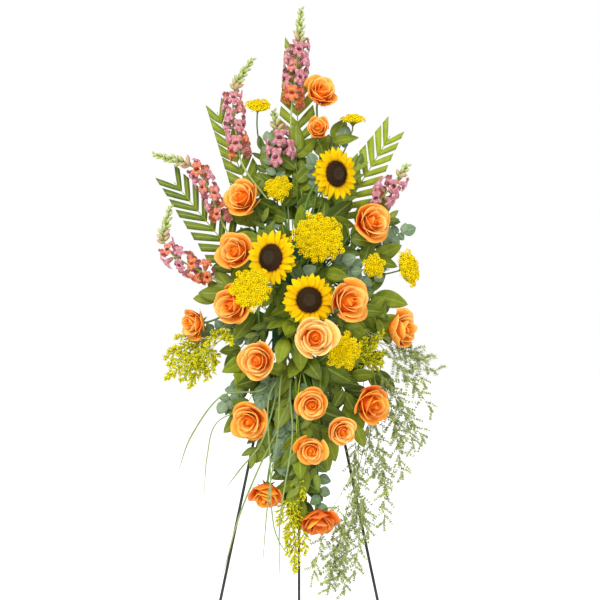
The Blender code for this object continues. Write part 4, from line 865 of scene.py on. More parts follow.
print("sunflower points", sum(sunflower(name, bloom, draw) for name, bloom in SUNFLOWERS.items()))

# %% [markdown]
# ## Yarrow
# Yarrow's flat yellow head is hundreds of florets a few millimetres wide, each with five short rays, on
# stalks that fork from one stem. Only their tops touch, so from the side one sees the stalks fan out. A
# bumpy dome would look right from far away only. Here the dome carries small domed bunches, and each
# bunch carries its florets, as on the plant, so that dark gaps are left between the bunches.

# %% Yarrow finish
BRIGHT_FLORET = ((0.0, (0.62, 0.48, 0.0)), (0.5, (0.97, 0.79, 0.0)), (1.0, (0.96, 0.72, 0.0)))
GREEN_FLORET = ((0.0, (0.16, 0.20, 0.01)), (1.0, (0.56, 0.50, 0.01)))


def yarrow_finish():
    florets = Finish("yarrow_floret", 0.75, gloss=0.1, glow=0.08)
    at = florets.places()
    whole = florets.mix(at.layer, florets.ramp(at.v, GREEN_FLORET), florets.ramp(at.v, BRIGHT_FLORET))
    whole = florets.mix(at.draw, whole, florets.mix(1.0, whole, (0.88, 0.80, 0.6), "MULTIPLY"))
    florets.bump(florets.noise(1500.0), 0.4, 0.0005)
    return florets.colour(florets.mottled(whole, 120.0, 0.15))


YARROW_FINISH = yarrow_finish()
print("finish", YARROW_FINISH.name)

# %% [markdown]
# A floret is a small cup with a wavy rim, whose every other point stands out as a ray. Single ray petals
# would double the faces and look the same at this size.

# %% Yarrow florets
FLORET_POINTS = 10
# Reach of the rays and of the dents between them, and height, in shares of a floret's radius
FLORET_RINGS = ((0.35, 0.35, 0.0), (1.0, 0.62, 0.62), (0.42, 0.36, 1.0))
FLORET_RADIUS = 0.0024
BUNCH_PITCH = 0.0122
BUNCH_FLORETS = 13
BUNCH_DROP = 0.0050


def yarrow_floret(head, matrix, size, shade):
    """One floret: a cup whose rim has five rays, closed by a raised middle."""
    rings = []
    for ray, dent, height in FLORET_RINGS:
        reaches = [size * (dent if k % 2 else ray) for k in range(FLORET_POINTS)]
        turns = [math.tau * k / FLORET_POINTS for k in range(FLORET_POINTS)]
        rings.append([matrix @ spoke(turn, reach, size * height) for turn, reach in zip(turns, reaches)])
    head.body(rings, 1.0, shade)


def yarrow_bunch(head, matrix, draw):
    """A small domed bunch of florets, whose middle stands on the matrix."""
    shade = draw.random()
    first = draw.uniform(0.0, math.tau)
    for k in range(BUNCH_FLORETS):
        share = math.sqrt((k + 0.5) / BUNCH_FLORETS)
        out = spoke(first + GOLDEN_TURN * k)
        point = out * (BUNCH_PITCH * 0.50 * share) - STRAIGHT_UP * (BUNCH_DROP * share**2)
        way = STRAIGHT_UP + out * (1.6 * share)
        size = FLORET_RADIUS * draw.uniform(0.85, 1.15)
        yarrow_floret(head, matrix @ aim(point, way, first), size, shade * 0.7 + draw.uniform(0.0, 0.3))


print("florets of a bunch", BUNCH_FLORETS)

# %% [markdown]
# Stalks fork from the stem up into the head, and bunches of florets close its whole top. A dome with a
# picture on it would be cheaper, but its rim would be smooth, and a real one is rough.

# %% Grow the yarrow
YARROW_LOBES = 5
YARROW_FORKS = 22
YARROW_CORE = ((0.38, 0.25), (0.42, 0.29), (0.34, 0.35), (0.10, 0.385))
FORK_RADIUS = 0.0007


def yarrow_top(width, share, turn):
    """Point on top of a head, from the middle (share 0) to the rim (share 1)."""
    lobed = 1.0 + 0.09 * share * math.cos(YARROW_LOBES * turn)
    return spoke(turn, width * 0.485 * share * lobed, width * (0.455 - 0.14 * share**3))


def yarrow(name, bloom, draw):
    """One yarrow head: a core, stalks that fork to it, and bunches of florets all over its top."""
    head = Cutting()
    width = bloom.width
    place = bloom.place(width * YARROW_MIDDLE)
    head.knob(place, 20, 0.25, 0.5, scaled(YARROW_CORE, width))
    for k in range(YARROW_FORKS):
        share = math.sqrt((k + 0.5) / YARROW_FORKS) * 0.9
        top = yarrow_top(width, share, GOLDEN_TURN * k) - STRAIGHT_UP * (width * 0.06)
        fork = Vector((top.x * 0.30, top.y * 0.30, width * 0.16))
        path = [place @ point for point in (Vector((top.x * 0.02, top.y * 0.02, 0.0)), fork, top)]
        head.tube(smooth_path(path, 5), FORK_RADIUS, 4, 0.0, 0.5)
    bunches = round((width * 0.97 / BUNCH_PITCH) ** 2 * 0.92)
    for k in range(bunches):
        share = math.sqrt((k + 0.5) / bunches) * 0.97
        turn = GOLDEN_TURN * k + draw.uniform(-0.12, 0.12)
        point = yarrow_top(width, share, turn)
        way = STRAIGHT_UP + Vector((point.x, point.y, 0.0)) * (share**2 / width)
        point.z += draw.uniform(-0.0022, 0.0034)
        way += Vector((draw.uniform(-0.25, 0.25), draw.uniform(-0.25, 0.25), 0.0))
        yarrow_bunch(head, place @ aim(point, way), draw)
    grown = grow(f"{name}_florets", head, YARROW_FINISH)
    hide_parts(name)
    return len(head.points)


print("yarrow points", sum(yarrow(name, bloom, draw) for name, bloom in YARROWS.items()))

# %% [markdown]
# ## Stems
# Under the blooms the stems gather into bunches, and each bunch is pushed into the foam as one foot. A
# stem leaves its bloom straight back, bends, and runs into the foot. It could be drawn as a curve with a
# bevel, but here each is an arc whose ends and pulls are known, so the bends follow the flowers.

# %% Feet in the foam
FOAM_SIDE = 0.055
FOAM_HALF_TALL = 0.115
FOAM_HALF_DEEP = 0.038
FOAM_BACK = 0.0064
FOAM_FRONT = FOAM_BACK + 2 * FOAM_HALF_DEEP
# How deep a foot stands in the foam, how far it stands out, and how much of its radius the stems take
STEM_DEPTH = 0.022
PLUG_BEYOND = 0.012
PLUG_SHARE = 0.97


class Foot(NamedTuple):
    """A stem end in the foam: its place on the foam's face, the face's way out, its radius."""

    across: float
    up: float
    out: float
    way: Vector
    radius: float

    def mouth(self, beyond=0.0):
        """Middle of the stem end, at a way outside the foam's face."""
        return on_board(self.across, self.up, self.out) + self.way * beyond


FEET = {
    "stems_top": Foot(0.014, FOAM_HALF_TALL, 0.056, UP, 0.0070),
    "stems_upper_left": Foot(-FOAM_SIDE, 0.078, 0.062, -ACROSS, 0.0055),
    "stems_upper_right": Foot(FOAM_SIDE, 0.034, 0.058, ACROSS, 0.0055),
    "stems_centre": Foot(0.004, 0.0, FOAM_FRONT, OUT, 0.0080),
    "stems_left": Foot(-FOAM_SIDE, -0.006, 0.060, -ACROSS, 0.0055),
    "stems_lower": Foot(0.0, -FOAM_HALF_TALL, 0.056, -UP, 0.0090),
    "snapdragon_1": Foot(-0.006, FOAM_HALF_TALL, 0.034, UP, 0.0030),
    "snapdragon_2": Foot(-0.042, FOAM_HALF_TALL, 0.044, UP, 0.0030),
    "snapdragon_3": Foot(-0.022, FOAM_HALF_TALL, 0.052, UP, 0.0030),
    "snapdragon_4": Foot(-FOAM_SIDE, 0.076, 0.040, -ACROSS, 0.0030),
    "snapdragon_5": Foot(-FOAM_SIDE, 0.024, 0.042, -ACROSS, 0.0030),
    "snapdragon_6": Foot(FOAM_SIDE, 0.080, 0.034, ACROSS, 0.0030),
    "palm_top": Foot(-0.006, FOAM_HALF_TALL, 0.020, UP, 0.0025),
    "palm_upper_left": Foot(-0.034, FOAM_HALF_TALL, 0.020, UP, 0.0025),
    "palm_left": Foot(-FOAM_SIDE, 0.030, 0.022, -ACROSS, 0.0025),
    "palm_right": Foot(0.034, FOAM_HALF_TALL, 0.020, UP, 0.0025),
    "eucalyptus_right": Foot(0.040, FOAM_HALF_TALL, 0.046, UP, 0.0035),
    "eucalyptus_left": Foot(-FOAM_SIDE, -0.074, 0.044, -ACROSS, 0.0035),
    "solidago_left": Foot(-FOAM_SIDE, -0.034, 0.036, -ACROSS, 0.0035),
    "solidago_lower": Foot(0.020, -FOAM_HALF_TALL, 0.026, -UP, 0.0035),
    "asparagus_fern": Foot(FOAM_SIDE, -0.078, 0.040, ACROSS, 0.0035),
    "bear_grass": Foot(-0.034, -FOAM_HALF_TALL, 0.040, -UP, 0.0045),
}


def foot_plug(cutting, plant):
    """Adds the straight end of a plant's stems, from inside the foam to a little way outside it."""
    foot = FEET[plant]
    ends = [foot.mouth(-STEM_DEPTH), foot.mouth(), foot.mouth(PLUG_BEYOND)]
    cutting.tube(ends, foot.radius * PLUG_SHARE, 10, 0.5, 0.5)


print("feet in the foam", len(FEET))

# %% [markdown]
# Some stems would run through a neighbour on their way to the foam. A random nudge could free them, but the
# real stems are led round by hand, so these are listed by the place of their tip.

# %% Detours
# Shift of a stem's bend across, up and out, by the plant and the place of its tip in the view
DETOURS = {
    ("stems_top", 322, 90): (0.017, 0.0, -0.017),
    ("stems_top", 335, 174): (-0.012, 0.0, 0.0),
    ("stems_top", 353, 120): (-0.025, 0.0, -0.025),
    ("stems_top", 342, 112): (0.0, 0.025, 0.025),
    ("stems_upper_left", 258, 222): (0.012, 0.0, 0.0),
    ("stems_upper_right", 384, 350): (0.0, 0.0, 0.050),
    ("stems_centre", 300, 370): (0.0, 0.0, 0.012),
    ("stems_centre", 309, 300): (0.0, 0.0, 0.012),
    ("stems_lower", 311, 451): (-0.035, 0.0, -0.035),
    ("stems_lower", 336, 462): (0.0, 0.0, 0.024),
    ("stems_lower", 284, 432): (0.012, 0.0, 0.0),
    ("stems_lower", 262, 466): (0.017, 0.0, 0.017),
    ("stems_lower", 226, 436): (0.008, 0.0, -0.008),
    ("snapdragon_2", 252, 60): (0.012, 0.0, 0.0),
    ("eucalyptus_left", 204, 330): (0.017, 0.0, -0.017),
    ("eucalyptus_left", 262, 400): (0.0, 0.0, 0.012),
    ("solidago_left", 166, 374): (0.0, -0.025, 0.025),
    ("solidago_left", 186, 388): (0.012, 0.0, 0.0),
    ("solidago_left", 214, 372): (-0.035, 0.0, -0.035),
    ("solidago_left", 168, 350): (0.0, 0.0, -0.024),
    ("solidago_lower", 298, 572): (-0.012, 0.0, 0.0),
    ("asparagus_fern", 432, 412): (0.0, 0.0, 0.012),
    ("asparagus_fern", 410, 446): (0.017, 0.0, -0.017),
    ("asparagus_fern", 322, 590): (0.025, 0.0, -0.025),
    ("bear_grass", 178, 472): (0.0, 0.0, 0.024),
    ("bear_grass", 204, 500): (-0.017, 0.0, -0.017),
    ("bear_grass", 226, 488): (0.0, 0.0, 0.012),
    ("bear_grass", 296, 566): (-0.035, 0.0, 0.035),
}


def detour(plant, right, down):
    """The shift of a stem's bend, which is nothing for most stems."""
    across, up, out = DETOURS.get((plant, right, down), (0.0, 0.0, 0.0))
    return ACROSS * across + UP * up + OUT * out


print("detours", len(DETOURS))

# %% [markdown]
# Stems that share a foot sit round its middle, each on the side that it comes from, so that they don't
# cross on the way.

# %% Seats and routes
# How deep a stem's end sits in its foot, and how far from the foot's middle, in shares of its radius
SEAT_DEPTH = 0.003
SEAT_OUT = 0.56
ROUTE_POINTS = 14


def seats(foot, targets):
    """Ends of a foot's stems, spread round it just inside its outer end in the order of their targets."""
    a = foot.way.orthogonal().normalized()
    b = foot.way.cross(a)
    asides = [target - foot.mouth() for target in targets]
    angles = [math.atan2(aside.dot(b), aside.dot(a)) for aside in asides]
    order = sorted(range(len(targets)), key=lambda k: angles[k])
    step = math.tau / len(targets)
    turns = [angles[k] - step * place for place, k in enumerate(order)]
    first = math.atan2(sum(math.sin(turn) for turn in turns), sum(math.cos(turn) for turn in turns))
    ring = {}
    for place, k in enumerate(order):
        turn = first + step * place
        outward = a * math.cos(turn) + b * math.sin(turn)
        ring[k] = foot.mouth(PLUG_BEYOND - SEAT_DEPTH) + outward * (foot.radius * SEAT_OUT)
    return [ring[k] for k in range(len(targets))]


def leaving(foot, end):
    """Way in which a stem leaves its seat: along the foot and a little outward."""
    outward = end - foot.mouth(PLUG_BEYOND - SEAT_DEPTH)
    return (foot.way + outward / foot.radius).normalized()


def stem_route(foot, start, pull, end, shift):
    """Path of a stem from its start to its seat."""
    distance = (start - end).length
    start_pull = pull * (distance * 0.34) + shift
    return arc_path(start, start_pull, end, leaving(foot, end) * (distance * 0.38) + shift, ROUTE_POINTS)


print("points of a route", ROUTE_POINTS)


# %% [markdown]
# ## Leaves
# The broad leaves are lemon leaf, a shiny dark green with a clear midrib. A flat plane with a leaf picture
# would be the quick way. These are real sheets instead: they arch to the tip, stand up a little on both
# sides of the midrib, and wave along the edge, so that the light catches each one differently.

# %% Leaf shape
SALAL_HALF = 0.27


def leaf_shape(root, way, face, length, half_share, arch, draw, fold=0.16, wave=0.05, pointed=1.0):
    """Shape of a leaf on a point, that grows along `way` and faces `face`."""
    side = way.cross(face).normalized()
    phase = draw.uniform(0.0, math.tau)
    twist = draw.uniform(-0.25, 0.25)

    def shape(u, v):
        belly = max(0.0, math.sin(math.pi * min(1.0, 0.03 + 0.97 * v) ** 0.85)) ** 0.72
        wide = length * half_share * belly * (1.0 - 0.18 * pointed * v * v)
        aside = u * wide
        waves = length * wave * 0.35 * abs(u) * math.sin(4.5 * v * math.pi + phase) * belly
        stand = abs(aside) * fold + waves + aside * math.sin(twist * v)
        return root + way * (length * v) - face * (length * arch * v * v) + side * aside + face * stand

    return shape


print("half width of a lemon leaf, in lengths", SALAL_HALF)

# %% [markdown]
# All leaves share one recipe, each kind with greens of its own: darker or paler by a draw, with a pale
# midrib and finer veins. The midrib could be modelled, but it is so thin that colour is enough.

# %% Leaf and stalk finishes
LEAF_GLOSS = 0.22
MIDRIB = ((0.42, BLACK), (0.5, (0.8,) * 3), (0.58, BLACK))
SIDE_VEINS = ((0.55, BLACK), (0.9, (0.35,) * 3))


def leaf_finish(name, dark, pale, rib, roughness, patches=60.0):
    """Green with a paler midrib and side veins; the draw makes whole leaves darker or paler."""
    leaf = Finish(name, roughness, gloss=LEAF_GLOSS)
    at = leaf.places()
    ribbed = leaf.mix(leaf.ramp(at.u, MIDRIB), leaf.mix(at.draw, dark, pale), rib)
    fine = leaf.veins(at.u, at.v, 3.0, 0.35, 0.001)
    veined = leaf.mix(leaf.ramp(fine, SIDE_VEINS), ribbed, rib)
    return leaf.colour(leaf.mottled(veined, patches, 0.22))


def stalk_finish():
    """A stem's green, lighter in long patches."""
    stalk = Finish("green_stalk", 0.55, gloss=0.35)
    green = stalk.mix(stalk.noise(35.0), (0.08, 0.18, 0.02), (0.17, 0.30, 0.04))
    stalk.bump(stalk.noise(700.0), 0.3, 0.0004)
    return stalk.colour(stalk.mottled(green, 150.0, 0.2))


SALAL_FINISH = leaf_finish(
    "salal_leaf",
    dark=(0.032, 0.074, 0.004),
    pale=(0.22, 0.28, 0.008),
    rib=(0.30, 0.37, 0.035),
    roughness=0.38,
)
STALK_FINISH = stalk_finish()
print("finishes", SALAL_FINISH.name, STALK_FINISH.name)

# %% [markdown]
# The leafy stems between the blooms are listed by the place of their tip, how many side leaves they bear,
# and how long a leaf is.

# %% Leafy stems


class Sprig(NamedTuple):
    """Leafy stem of a bunch: the place of its tip as seen, its side leaves, and the length of a leaf."""

    stems: str
    right: float
    down: float
    forward: float
    leaves: int
    length: float


SPRIGS = (
    Sprig("stems_top", 342, 112, 0.040, 2, 0.068),
    Sprig("stems_top", 300, 158, 0.060, 2, 0.068),
    Sprig("stems_top", 352, 200, 0.080, 2, 0.068),
    Sprig("stems_top", 300, 205, 0.090, 1, 0.068),
    Sprig("stems_upper_left", 258, 222, 0.085, 2, 0.070),
    Sprig("stems_upper_left", 212, 268, 0.060, 2, 0.068),
    Sprig("stems_upper_right", 402, 245, 0.050, 2, 0.068),
    Sprig("stems_upper_right", 408, 305, 0.045, 3, 0.072),
    Sprig("stems_upper_right", 384, 350, 0.070, 2, 0.072),
    Sprig("stems_centre", 347, 266, 0.120, 2, 0.076),
    Sprig("stems_centre", 286, 338, 0.120, 2, 0.074),
    Sprig("stems_centre", 300, 370, 0.120, 1, 0.076),
    Sprig("stems_centre", 262, 322, 0.115, 1, 0.074),
    Sprig("stems_centre", 330, 318, 0.130, 1, 0.076),
    Sprig("stems_left", 198, 292, 0.050, 3, 0.072),
    Sprig("stems_left", 232, 340, 0.075, 2, 0.070),
    Sprig("stems_left", 236, 392, 0.070, 2, 0.070),
    Sprig("stems_lower", 352, 384, 0.080, 2, 0.076),
    Sprig("stems_lower", 320, 380, 0.100, 1, 0.076),
    Sprig("stems_lower", 336, 462, 0.060, 2, 0.072),
    Sprig("stems_lower", 284, 432, 0.080, 2, 0.068),
    Sprig("stems_lower", 276, 398, 0.080, 1, 0.068),
    Sprig("stems_lower", 262, 466, 0.050, 3, 0.072),
    Sprig("stems_lower", 226, 436, 0.050, 2, 0.068),
    Sprig("stems_lower", 300, 480, 0.080, 1, 0.064),
)
print("leafy stems", len(SPRIGS))

# %% [markdown]
# Side leaves stand left and right of a stem in turn and look to the viewer. Near the foam little light
# reaches them, so the leaves are painted darker on the way there: painted shade, as they look in the
# photograph.

# %% Side leaves
# Turn of a leaf round its stem, its angle off the stem, and how far that angle varies
LEAF_ROLL = 30
LEAF_SPREAD = 52.0
SPREAD_VARIES = 12
# How much darker a leaf is painted for each share of the way back to the foam: painted shade
PAINTED_INNER_SHADE = 0.9


def facing_viewer(way):
    """Unit vector across a way that looks to the viewer as nearly as it can."""
    return (TO_VIEWER - way * TO_VIEWER.dot(way)).normalized()


def side_leaf(leaves, path, at, side, length, draw, half=SALAL_HALF, spread=LEAF_SPREAD, unwanted=None):
    """Adds a leaf at a share of the way along a path, on its left (-1) or right (1), unless unwanted."""
    root, leg = point_at(path, at * (len(path) - 1))
    ahead = (path[leg] - path[leg + 1]).normalized()
    roll = Matrix.Rotation(math.radians(draw.uniform(-LEAF_ROLL, LEAF_ROLL)), 3, ahead)
    face = roll @ facing_viewer(ahead)
    out = ahead.cross(face) * side
    angle = math.radians(spread + draw.uniform(-SPREAD_VARIES, SPREAD_VARIES))
    way = (ahead * math.cos(angle) + out * math.sin(angle)).normalized()
    shape = leaf_shape(root, way, face, length * draw.uniform(0.85, 1.0), half, 0.12, draw)
    # Painted shade: a leaf's colour is darker the nearer it sits to the foam
    shade = draw.random() * (1.0 - PAINTED_INNER_SHADE * at)
    if unwanted is None or not unwanted(shape):
        leaves.sheet(shape, 6, 10, 0.5, shade)


print("turn of a side leaf off its stem", LEAF_SPREAD, "degrees")

# %% [markdown]
# Under a rose or a sunflower the stem swells into a green cup, the calyx, with pointed sepals round it. It
# could be left out, since it hardly shows from the front, but it shows in every view from the side.

# %% Calyxes
# Rings of the swelling, in shares of its radius
SWELLING = ((0.95, 0.0), (1.0, 0.45), (0.72, 1.2), (0.3, 2.0))


class Calyx(NamedTuple):
    """Cup under a bloom: its sepals, their reach, half width and how far their tips bend back, its radius."""

    sepals: int
    reach: float
    half: float
    back: float
    radius: float


ROSE_CALYX = Calyx(5, 0.021, 0.0045, 0.0035, 0.0062)
SUNFLOWER_CALYX = Calyx(11, 0.034, 0.0065, 0.0080, 0.0130)


def add_calyx(sheets, stalks, top, facing, cup):
    """Adds a calyx: a swelling on the stem and pointed sepals round it."""
    place = aim(top, -facing)
    stalks.knob(place, 8, 0.5, 0.5, scaled(SWELLING, cup.radius))
    for k in range(cup.sepals):
        turn = math.tau * k / cup.sepals
        out, across = spoke(turn), Vector((-math.sin(turn), math.cos(turn), 0.0))

        def sepal(u, v):
            half = cup.half * (1.0 - v) ** 0.8 * (0.5 + 0.5 * min(1.0, 4 * v))
            point = out * (cup.radius * 0.5 + cup.reach * v) + across * (u * half)
            return place @ (point + STRAIGHT_UP * (cup.back * v * v))

        sheets.sheet(sepal, 2, 6, 0.5, 0.6)


print("sepals", ROSE_CALYX.sepals, SUNFLOWER_CALYX.sepals)

# %% [markdown]
# Now the stems of each foot grow, with the leafy stems between them. Each could be an object of its own,
# but the frame has one node for a whole bunch, so they share a cutting.

# %% Grow the bunches of stems
ROSE_STEM, SUNFLOWER_STEM, YARROW_STEM = 0.0024, 0.0032, 0.0017
# Length of a stem that runs straight back from its bloom
STRAIGHT = 0.006
# Place of the first side leaf and step to the next, in shares of the way to the foam
FIRST_LEAF = 0.04
LEAF_SPACING = 0.20


def blooms_on(stems):
    """Each bloom on a bunch of stems, with its base, the radius of its stem and its calyx, if it has one."""
    under = []
    for bloom in ROSES.values():
        under.append((bloom, bloom.place(bloom.width * ROSE_MIDDLE).translation, ROSE_STEM, ROSE_CALYX))
    for bloom in SUNFLOWERS.values():
        base = bloom.place(0.0).translation - bloom.facing() * HUB_HALF
        under.append((bloom, base, SUNFLOWER_STEM, SUNFLOWER_CALYX))
    for bloom in YARROWS.values():
        under.append((bloom, bloom.place(bloom.width * YARROW_MIDDLE).translation, YARROW_STEM, None))
    return [entry for entry in under if entry[0].stems == stems]


def bunch(name, draw):
    """The stems of one foot with their calyxes, and the leafy stems between them."""
    foot = FEET[name]
    under = blooms_on(name)
    sprigs = [sprig for sprig in SPRIGS if sprig.stems == name]
    targets = [base for _, base, _, _ in under] + [seen_at(s.right, s.down, s.forward) for s in sprigs]
    ends = seats(foot, targets)
    stalks, leaves = Cutting(), Cutting()
    foot_plug(stalks, name)
    for end, (bloom, base, radius, cup) in zip(ends, under):
        facing = bloom.facing()
        top = base - facing * GAP
        route = stem_route(foot, top - facing * STRAIGHT, -facing, end, detour(name, bloom.right, bloom.down))
        stalks.tube([top] + route, radius, 7)
        if cup:
            add_calyx(leaves, stalks, top, facing, cup)
    for end, sprig in zip(ends[len(under) :], sprigs):
        tip = seen_at(sprig.right, sprig.down, sprig.forward)
        ahead = (tip - end).normalized()
        start = tip - ahead * sprig.length
        path = stem_route(foot, start, -ahead, end, detour(name, sprig.right, sprig.down))
        stalks.tube(path, lambda share: 0.0010 + 0.0008 * share, 6)
        way = (path[0] - path[1]).normalized()
        shape = leaf_shape(path[0], way, facing_viewer(way), sprig.length, SALAL_HALF, 0.03, draw)
        leaves.sheet(shape, 6, 10, 0.5, draw.random())
        for k in range(sprig.leaves):
            side_leaf(leaves, path, FIRST_LEAF + k * LEAF_SPACING, (-1) ** k, sprig.length, draw)
    grown = grow(f"{name}_stalks", stalks, STALK_FINISH)
    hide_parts(name)
    grow(f"{name}_leaves", leaves, SALAL_FINISH, thickness=LEAF_THICKNESS)
    return len(stalks.points) + len(leaves.points)


print("bunch points", sum(bunch(name, draw) for name in FEET if name.startswith("stems")))

# %% [markdown]
# ## Snapdragons
# A snapdragon opens from the bottom up: open florets below, then coloured buds, then small green ones at
# the tip. Each floret is a tube that parts into two lips. One could model a single floret and copy it.
# A short formula makes every one here, so that size and colour can change along the spike.

# %% Snapdragon spikes


class Spike(NamedTuple):
    """Flower spike: its tip, bend and lowest floret as seen, how wide it opens and how coral it is."""

    tip: tuple
    bend: tuple
    low: tuple
    open: float = 1.0
    coral: float = 0.12


SPIKES = {
    "snapdragon_1": Spike((301, 10, 0.045), (298, 52, 0.050), (292, 104, 0.060), 1.15),
    "snapdragon_2": Spike((252, 60, 0.045), (233, 96, 0.055), (240, 158, 0.060), 1.12),
    "snapdragon_3": Spike((274, 112, 0.060), (279, 140, 0.070), (284, 172, 0.065), 1.25, -0.24),
    "snapdragon_4": Spike((155, 155, 0.050), (197, 170, 0.055), (222, 222, 0.055)),
    "snapdragon_5": Spike((170, 208, 0.055), (166, 248, 0.060), (216, 280, 0.055)),
    "snapdragon_6": Spike((407, 166, 0.050), (392, 186, 0.060), (376, 204, 0.050), 1.15, -0.16),
}
print("spikes", len(SPIKES))

# %% [markdown]
# An open floret is a throat and five lobes round its mouth, two above and three below.

# %% Snapdragon floret
# Lobes of a floret: turn round the mouth in degrees, reach out, reach on, half width, all in floret sizes
UPPER_LOBES = ((66, 0.36, 0.20, 0.21), (114, 0.36, 0.20, 0.21))
LOWER_LOBES = ((218, 0.30, 0.04, 0.17), (270, 0.34, 0.02, 0.20), (322, 0.30, 0.04, 0.17))


def snap_floret(petals, matrix, size, hue):
    """Throat and five lobes of an open floret, whose mouth looks along +Z of the matrix."""

    def throat(u, v):
        turn = math.pi * u
        reach = size * (0.07 + 0.17 * math.sin(v * math.pi * 0.5))
        return matrix @ Vector((reach * math.cos(turn), reach * 0.85 * math.sin(turn), size * 0.68 * v))

    petals.sheet(throat, 8, 3, 0.2, hue)
    for degrees, out, on, half in UPPER_LOBES + LOWER_LOBES:
        turn = math.radians(degrees)
        outward = spoke(turn)
        aside = Vector((-math.sin(turn), math.cos(turn), 0.0))

        def lobe(u, v):
            wide = size * half * math.sin(math.pi * (0.25 + 0.68 * v)) ** 0.7
            reach = size * (0.20 + out * v)
            rise = size * (0.62 + on * math.sin(math.pi * 0.5 * v) - 0.16 * v * v - 0.08 * u * u)
            return matrix @ (outward * reach + aside * (u * wide) + Vector((0.0, 0.0, rise)))

        petals.sheet(lobe, 3, 4, 0.8, hue)


print("lobes of a floret", len(UPPER_LOBES + LOWER_LOBES))

# %% [markdown]
# Florets are pink near the tip and coral below. Buds turn from green to pink as they ripen.

# %% Snapdragon finishes
PINK_FLORET = ((0.0, (0.68, 0.46, 0.36)), (0.4, (0.50, 0.15, 0.20)), (1.0, (0.70, 0.36, 0.42)))
CORAL_FLORET = ((0.0, (0.80, 0.46, 0.16)), (0.4, (0.74, 0.16, 0.045)), (1.0, (0.74, 0.25, 0.16)))
GREEN_BUD = ((0.0, (0.24, 0.34, 0.06)), (1.0, (0.56, 0.62, 0.24)))
PINK_BUD = ((0.0, (0.22, 0.34, 0.09)), (0.35, (0.60, 0.36, 0.24)), (1.0, (0.68, 0.24, 0.26)))


def snap_finish():
    petal = Finish("snapdragon_petal", 0.6, gloss=0.2, glow=0.10)
    at = petal.places()
    pink, coral = petal.ramp(at.v, PINK_FLORET), petal.ramp(at.v, CORAL_FLORET)
    coral_share = petal.ramp(at.draw, ((0.35, BLACK), (0.65, WHITE)))
    return petal.colour(petal.mottled(petal.mix(coral_share, pink, coral), 220.0, 0.25))


SNAP_FINISH = snap_finish()
BUD_FINISH = Finish("snapdragon_bud", 0.6, gloss=0.25).between(GREEN_BUD, PINK_BUD, 200.0, 0.15)
print("finishes", SNAP_FINISH.name, BUD_FINISH.name)

# %% [markdown]
# Buds and florets follow one another by the golden turn, as on the plant. Their size, ripeness and
# colour change with the place along the spike.

# %% Grow the snapdragons
FLORET_PITCH, FLORET_SIZE, FLORETS_SHARE = 0.0082, 0.034, 0.62
FLORET_THICKNESS = 0.0005
# How far a floret and its green cup stand out from the stem, and how much a floret hangs
FLORET_OUT, CUP_OUT, FLORET_HANG = 0.0045, 0.0040, 0.12
BUD_PITCH, BUD_SIZE = 0.0036, 0.022
BUD_RINGS = ((0.10, 0.0), (0.24, 0.32), (0.22, 0.7), (0.07, 1.0))
CUP_RINGS = ((0.05, 0.0), (0.13, 0.10), (0.11, 0.22))


def snapdragon(name, spike, draw):
    """One spike: stem, buds with their sepals, and open florets."""
    tip, bend, low = (seen_at(*place) for place in spike[:3])
    foot = FEET[name]
    end = foot.mouth(PLUG_BEYOND)
    below = stem_route(foot, low, (low - bend).normalized(), end, detour(name, *spike.tip[:2]))
    above = smooth_path([tip, bend, low], 9)
    path = above + below[1:] + [foot.mouth(-STEM_DEPTH)]
    stalks, petals = Cutting(), Cutting()
    last = len(path) - 1
    plug = 1.0 - 2.5 / last

    def stalk_radius(share):
        return 0.0009 + 0.0013 * min(1.0, share * 3) + 0.0006 * (share > plug)

    stalks.tube(path, stalk_radius, 7, 0.5, 0.0)
    length = path_length(above)
    bud_part = length * (1.0 - FLORETS_SHARE)
    buds = round(bud_part / BUD_PITCH)
    for k, (root, ahead) in enumerate(points_along(above, [bud_part * k / buds for k in range(buds)])):
        sideways = Matrix.Rotation(GOLDEN_TURN * k, 3, ahead) @ ahead.cross(TO_VIEWER).normalized()
        grown = 0.50 + 0.50 * k / buds
        way = (sideways * (0.35 + 0.45 * grown) + ahead * (1.1 - 0.5 * grown)).normalized()
        ripe = max(0.0, min(1.0, (k / buds - 0.60) * 2.2 + draw.uniform(-0.2, 0.2)))
        stalks.knob(aim(root, way), 7, 0.5, ripe, scaled(BUD_RINGS, BUD_SIZE * grown))
    florets = round((length - bud_part) / FLORET_PITCH)
    steps = [bud_part + (length - bud_part) * (k + 0.3) / florets for k in range(florets)]
    for k, (root, ahead) in enumerate(points_along(above, steps)):
        sideways = Matrix.Rotation(GOLDEN_TURN * k, 3, ahead) @ ahead.cross(TO_VIEWER).normalized()
        way = (sideways + ahead * draw.uniform(0.2, 0.6) - STRAIGHT_UP * FLORET_HANG).normalized()
        hue = min(1.0, max(0.0, spike.coral + 0.60 * k / florets + draw.uniform(-0.40, 0.40)))
        size = spike.open * FLORET_SIZE * draw.uniform(0.72, 1.0) * (0.8 + 0.2 * min(1.0, 4.0 * k / florets))
        snap_floret(petals, aim(root + sideways * FLORET_OUT, way), size, hue)
        stalks.knob(aim(root + sideways * CUP_OUT, way), 6, 0.5, 0.0, scaled(CUP_RINGS, size))
        stalks.tube([root, root + sideways * FLORET_OUT], 0.0008, 4, 0.5, 0.0)
    grown = grow(f"{name}_florets", petals, SNAP_FINISH, thickness=FLORET_THICKNESS)
    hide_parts(name)
    grow(f"{name}_stalk_and_buds", stalks, BUD_FINISH)
    return len(petals.points) + len(stalks.points)


print("snapdragon points", sum(snapdragon(name, spike, draw) for name, spike in SPIKES.items()))

# %% [markdown]
# ## Palm fronds
# Florists trim a palm leaf: the leaflets are cut off along two straight lines, so that the frond becomes a
# neat paddle. The leaflets stay folded along their middle. They could be cut out of a card with an alpha
# mask, but then they would have no edge. Each is a narrow sheet from the rib to its cut end.

# %% Palm fronds


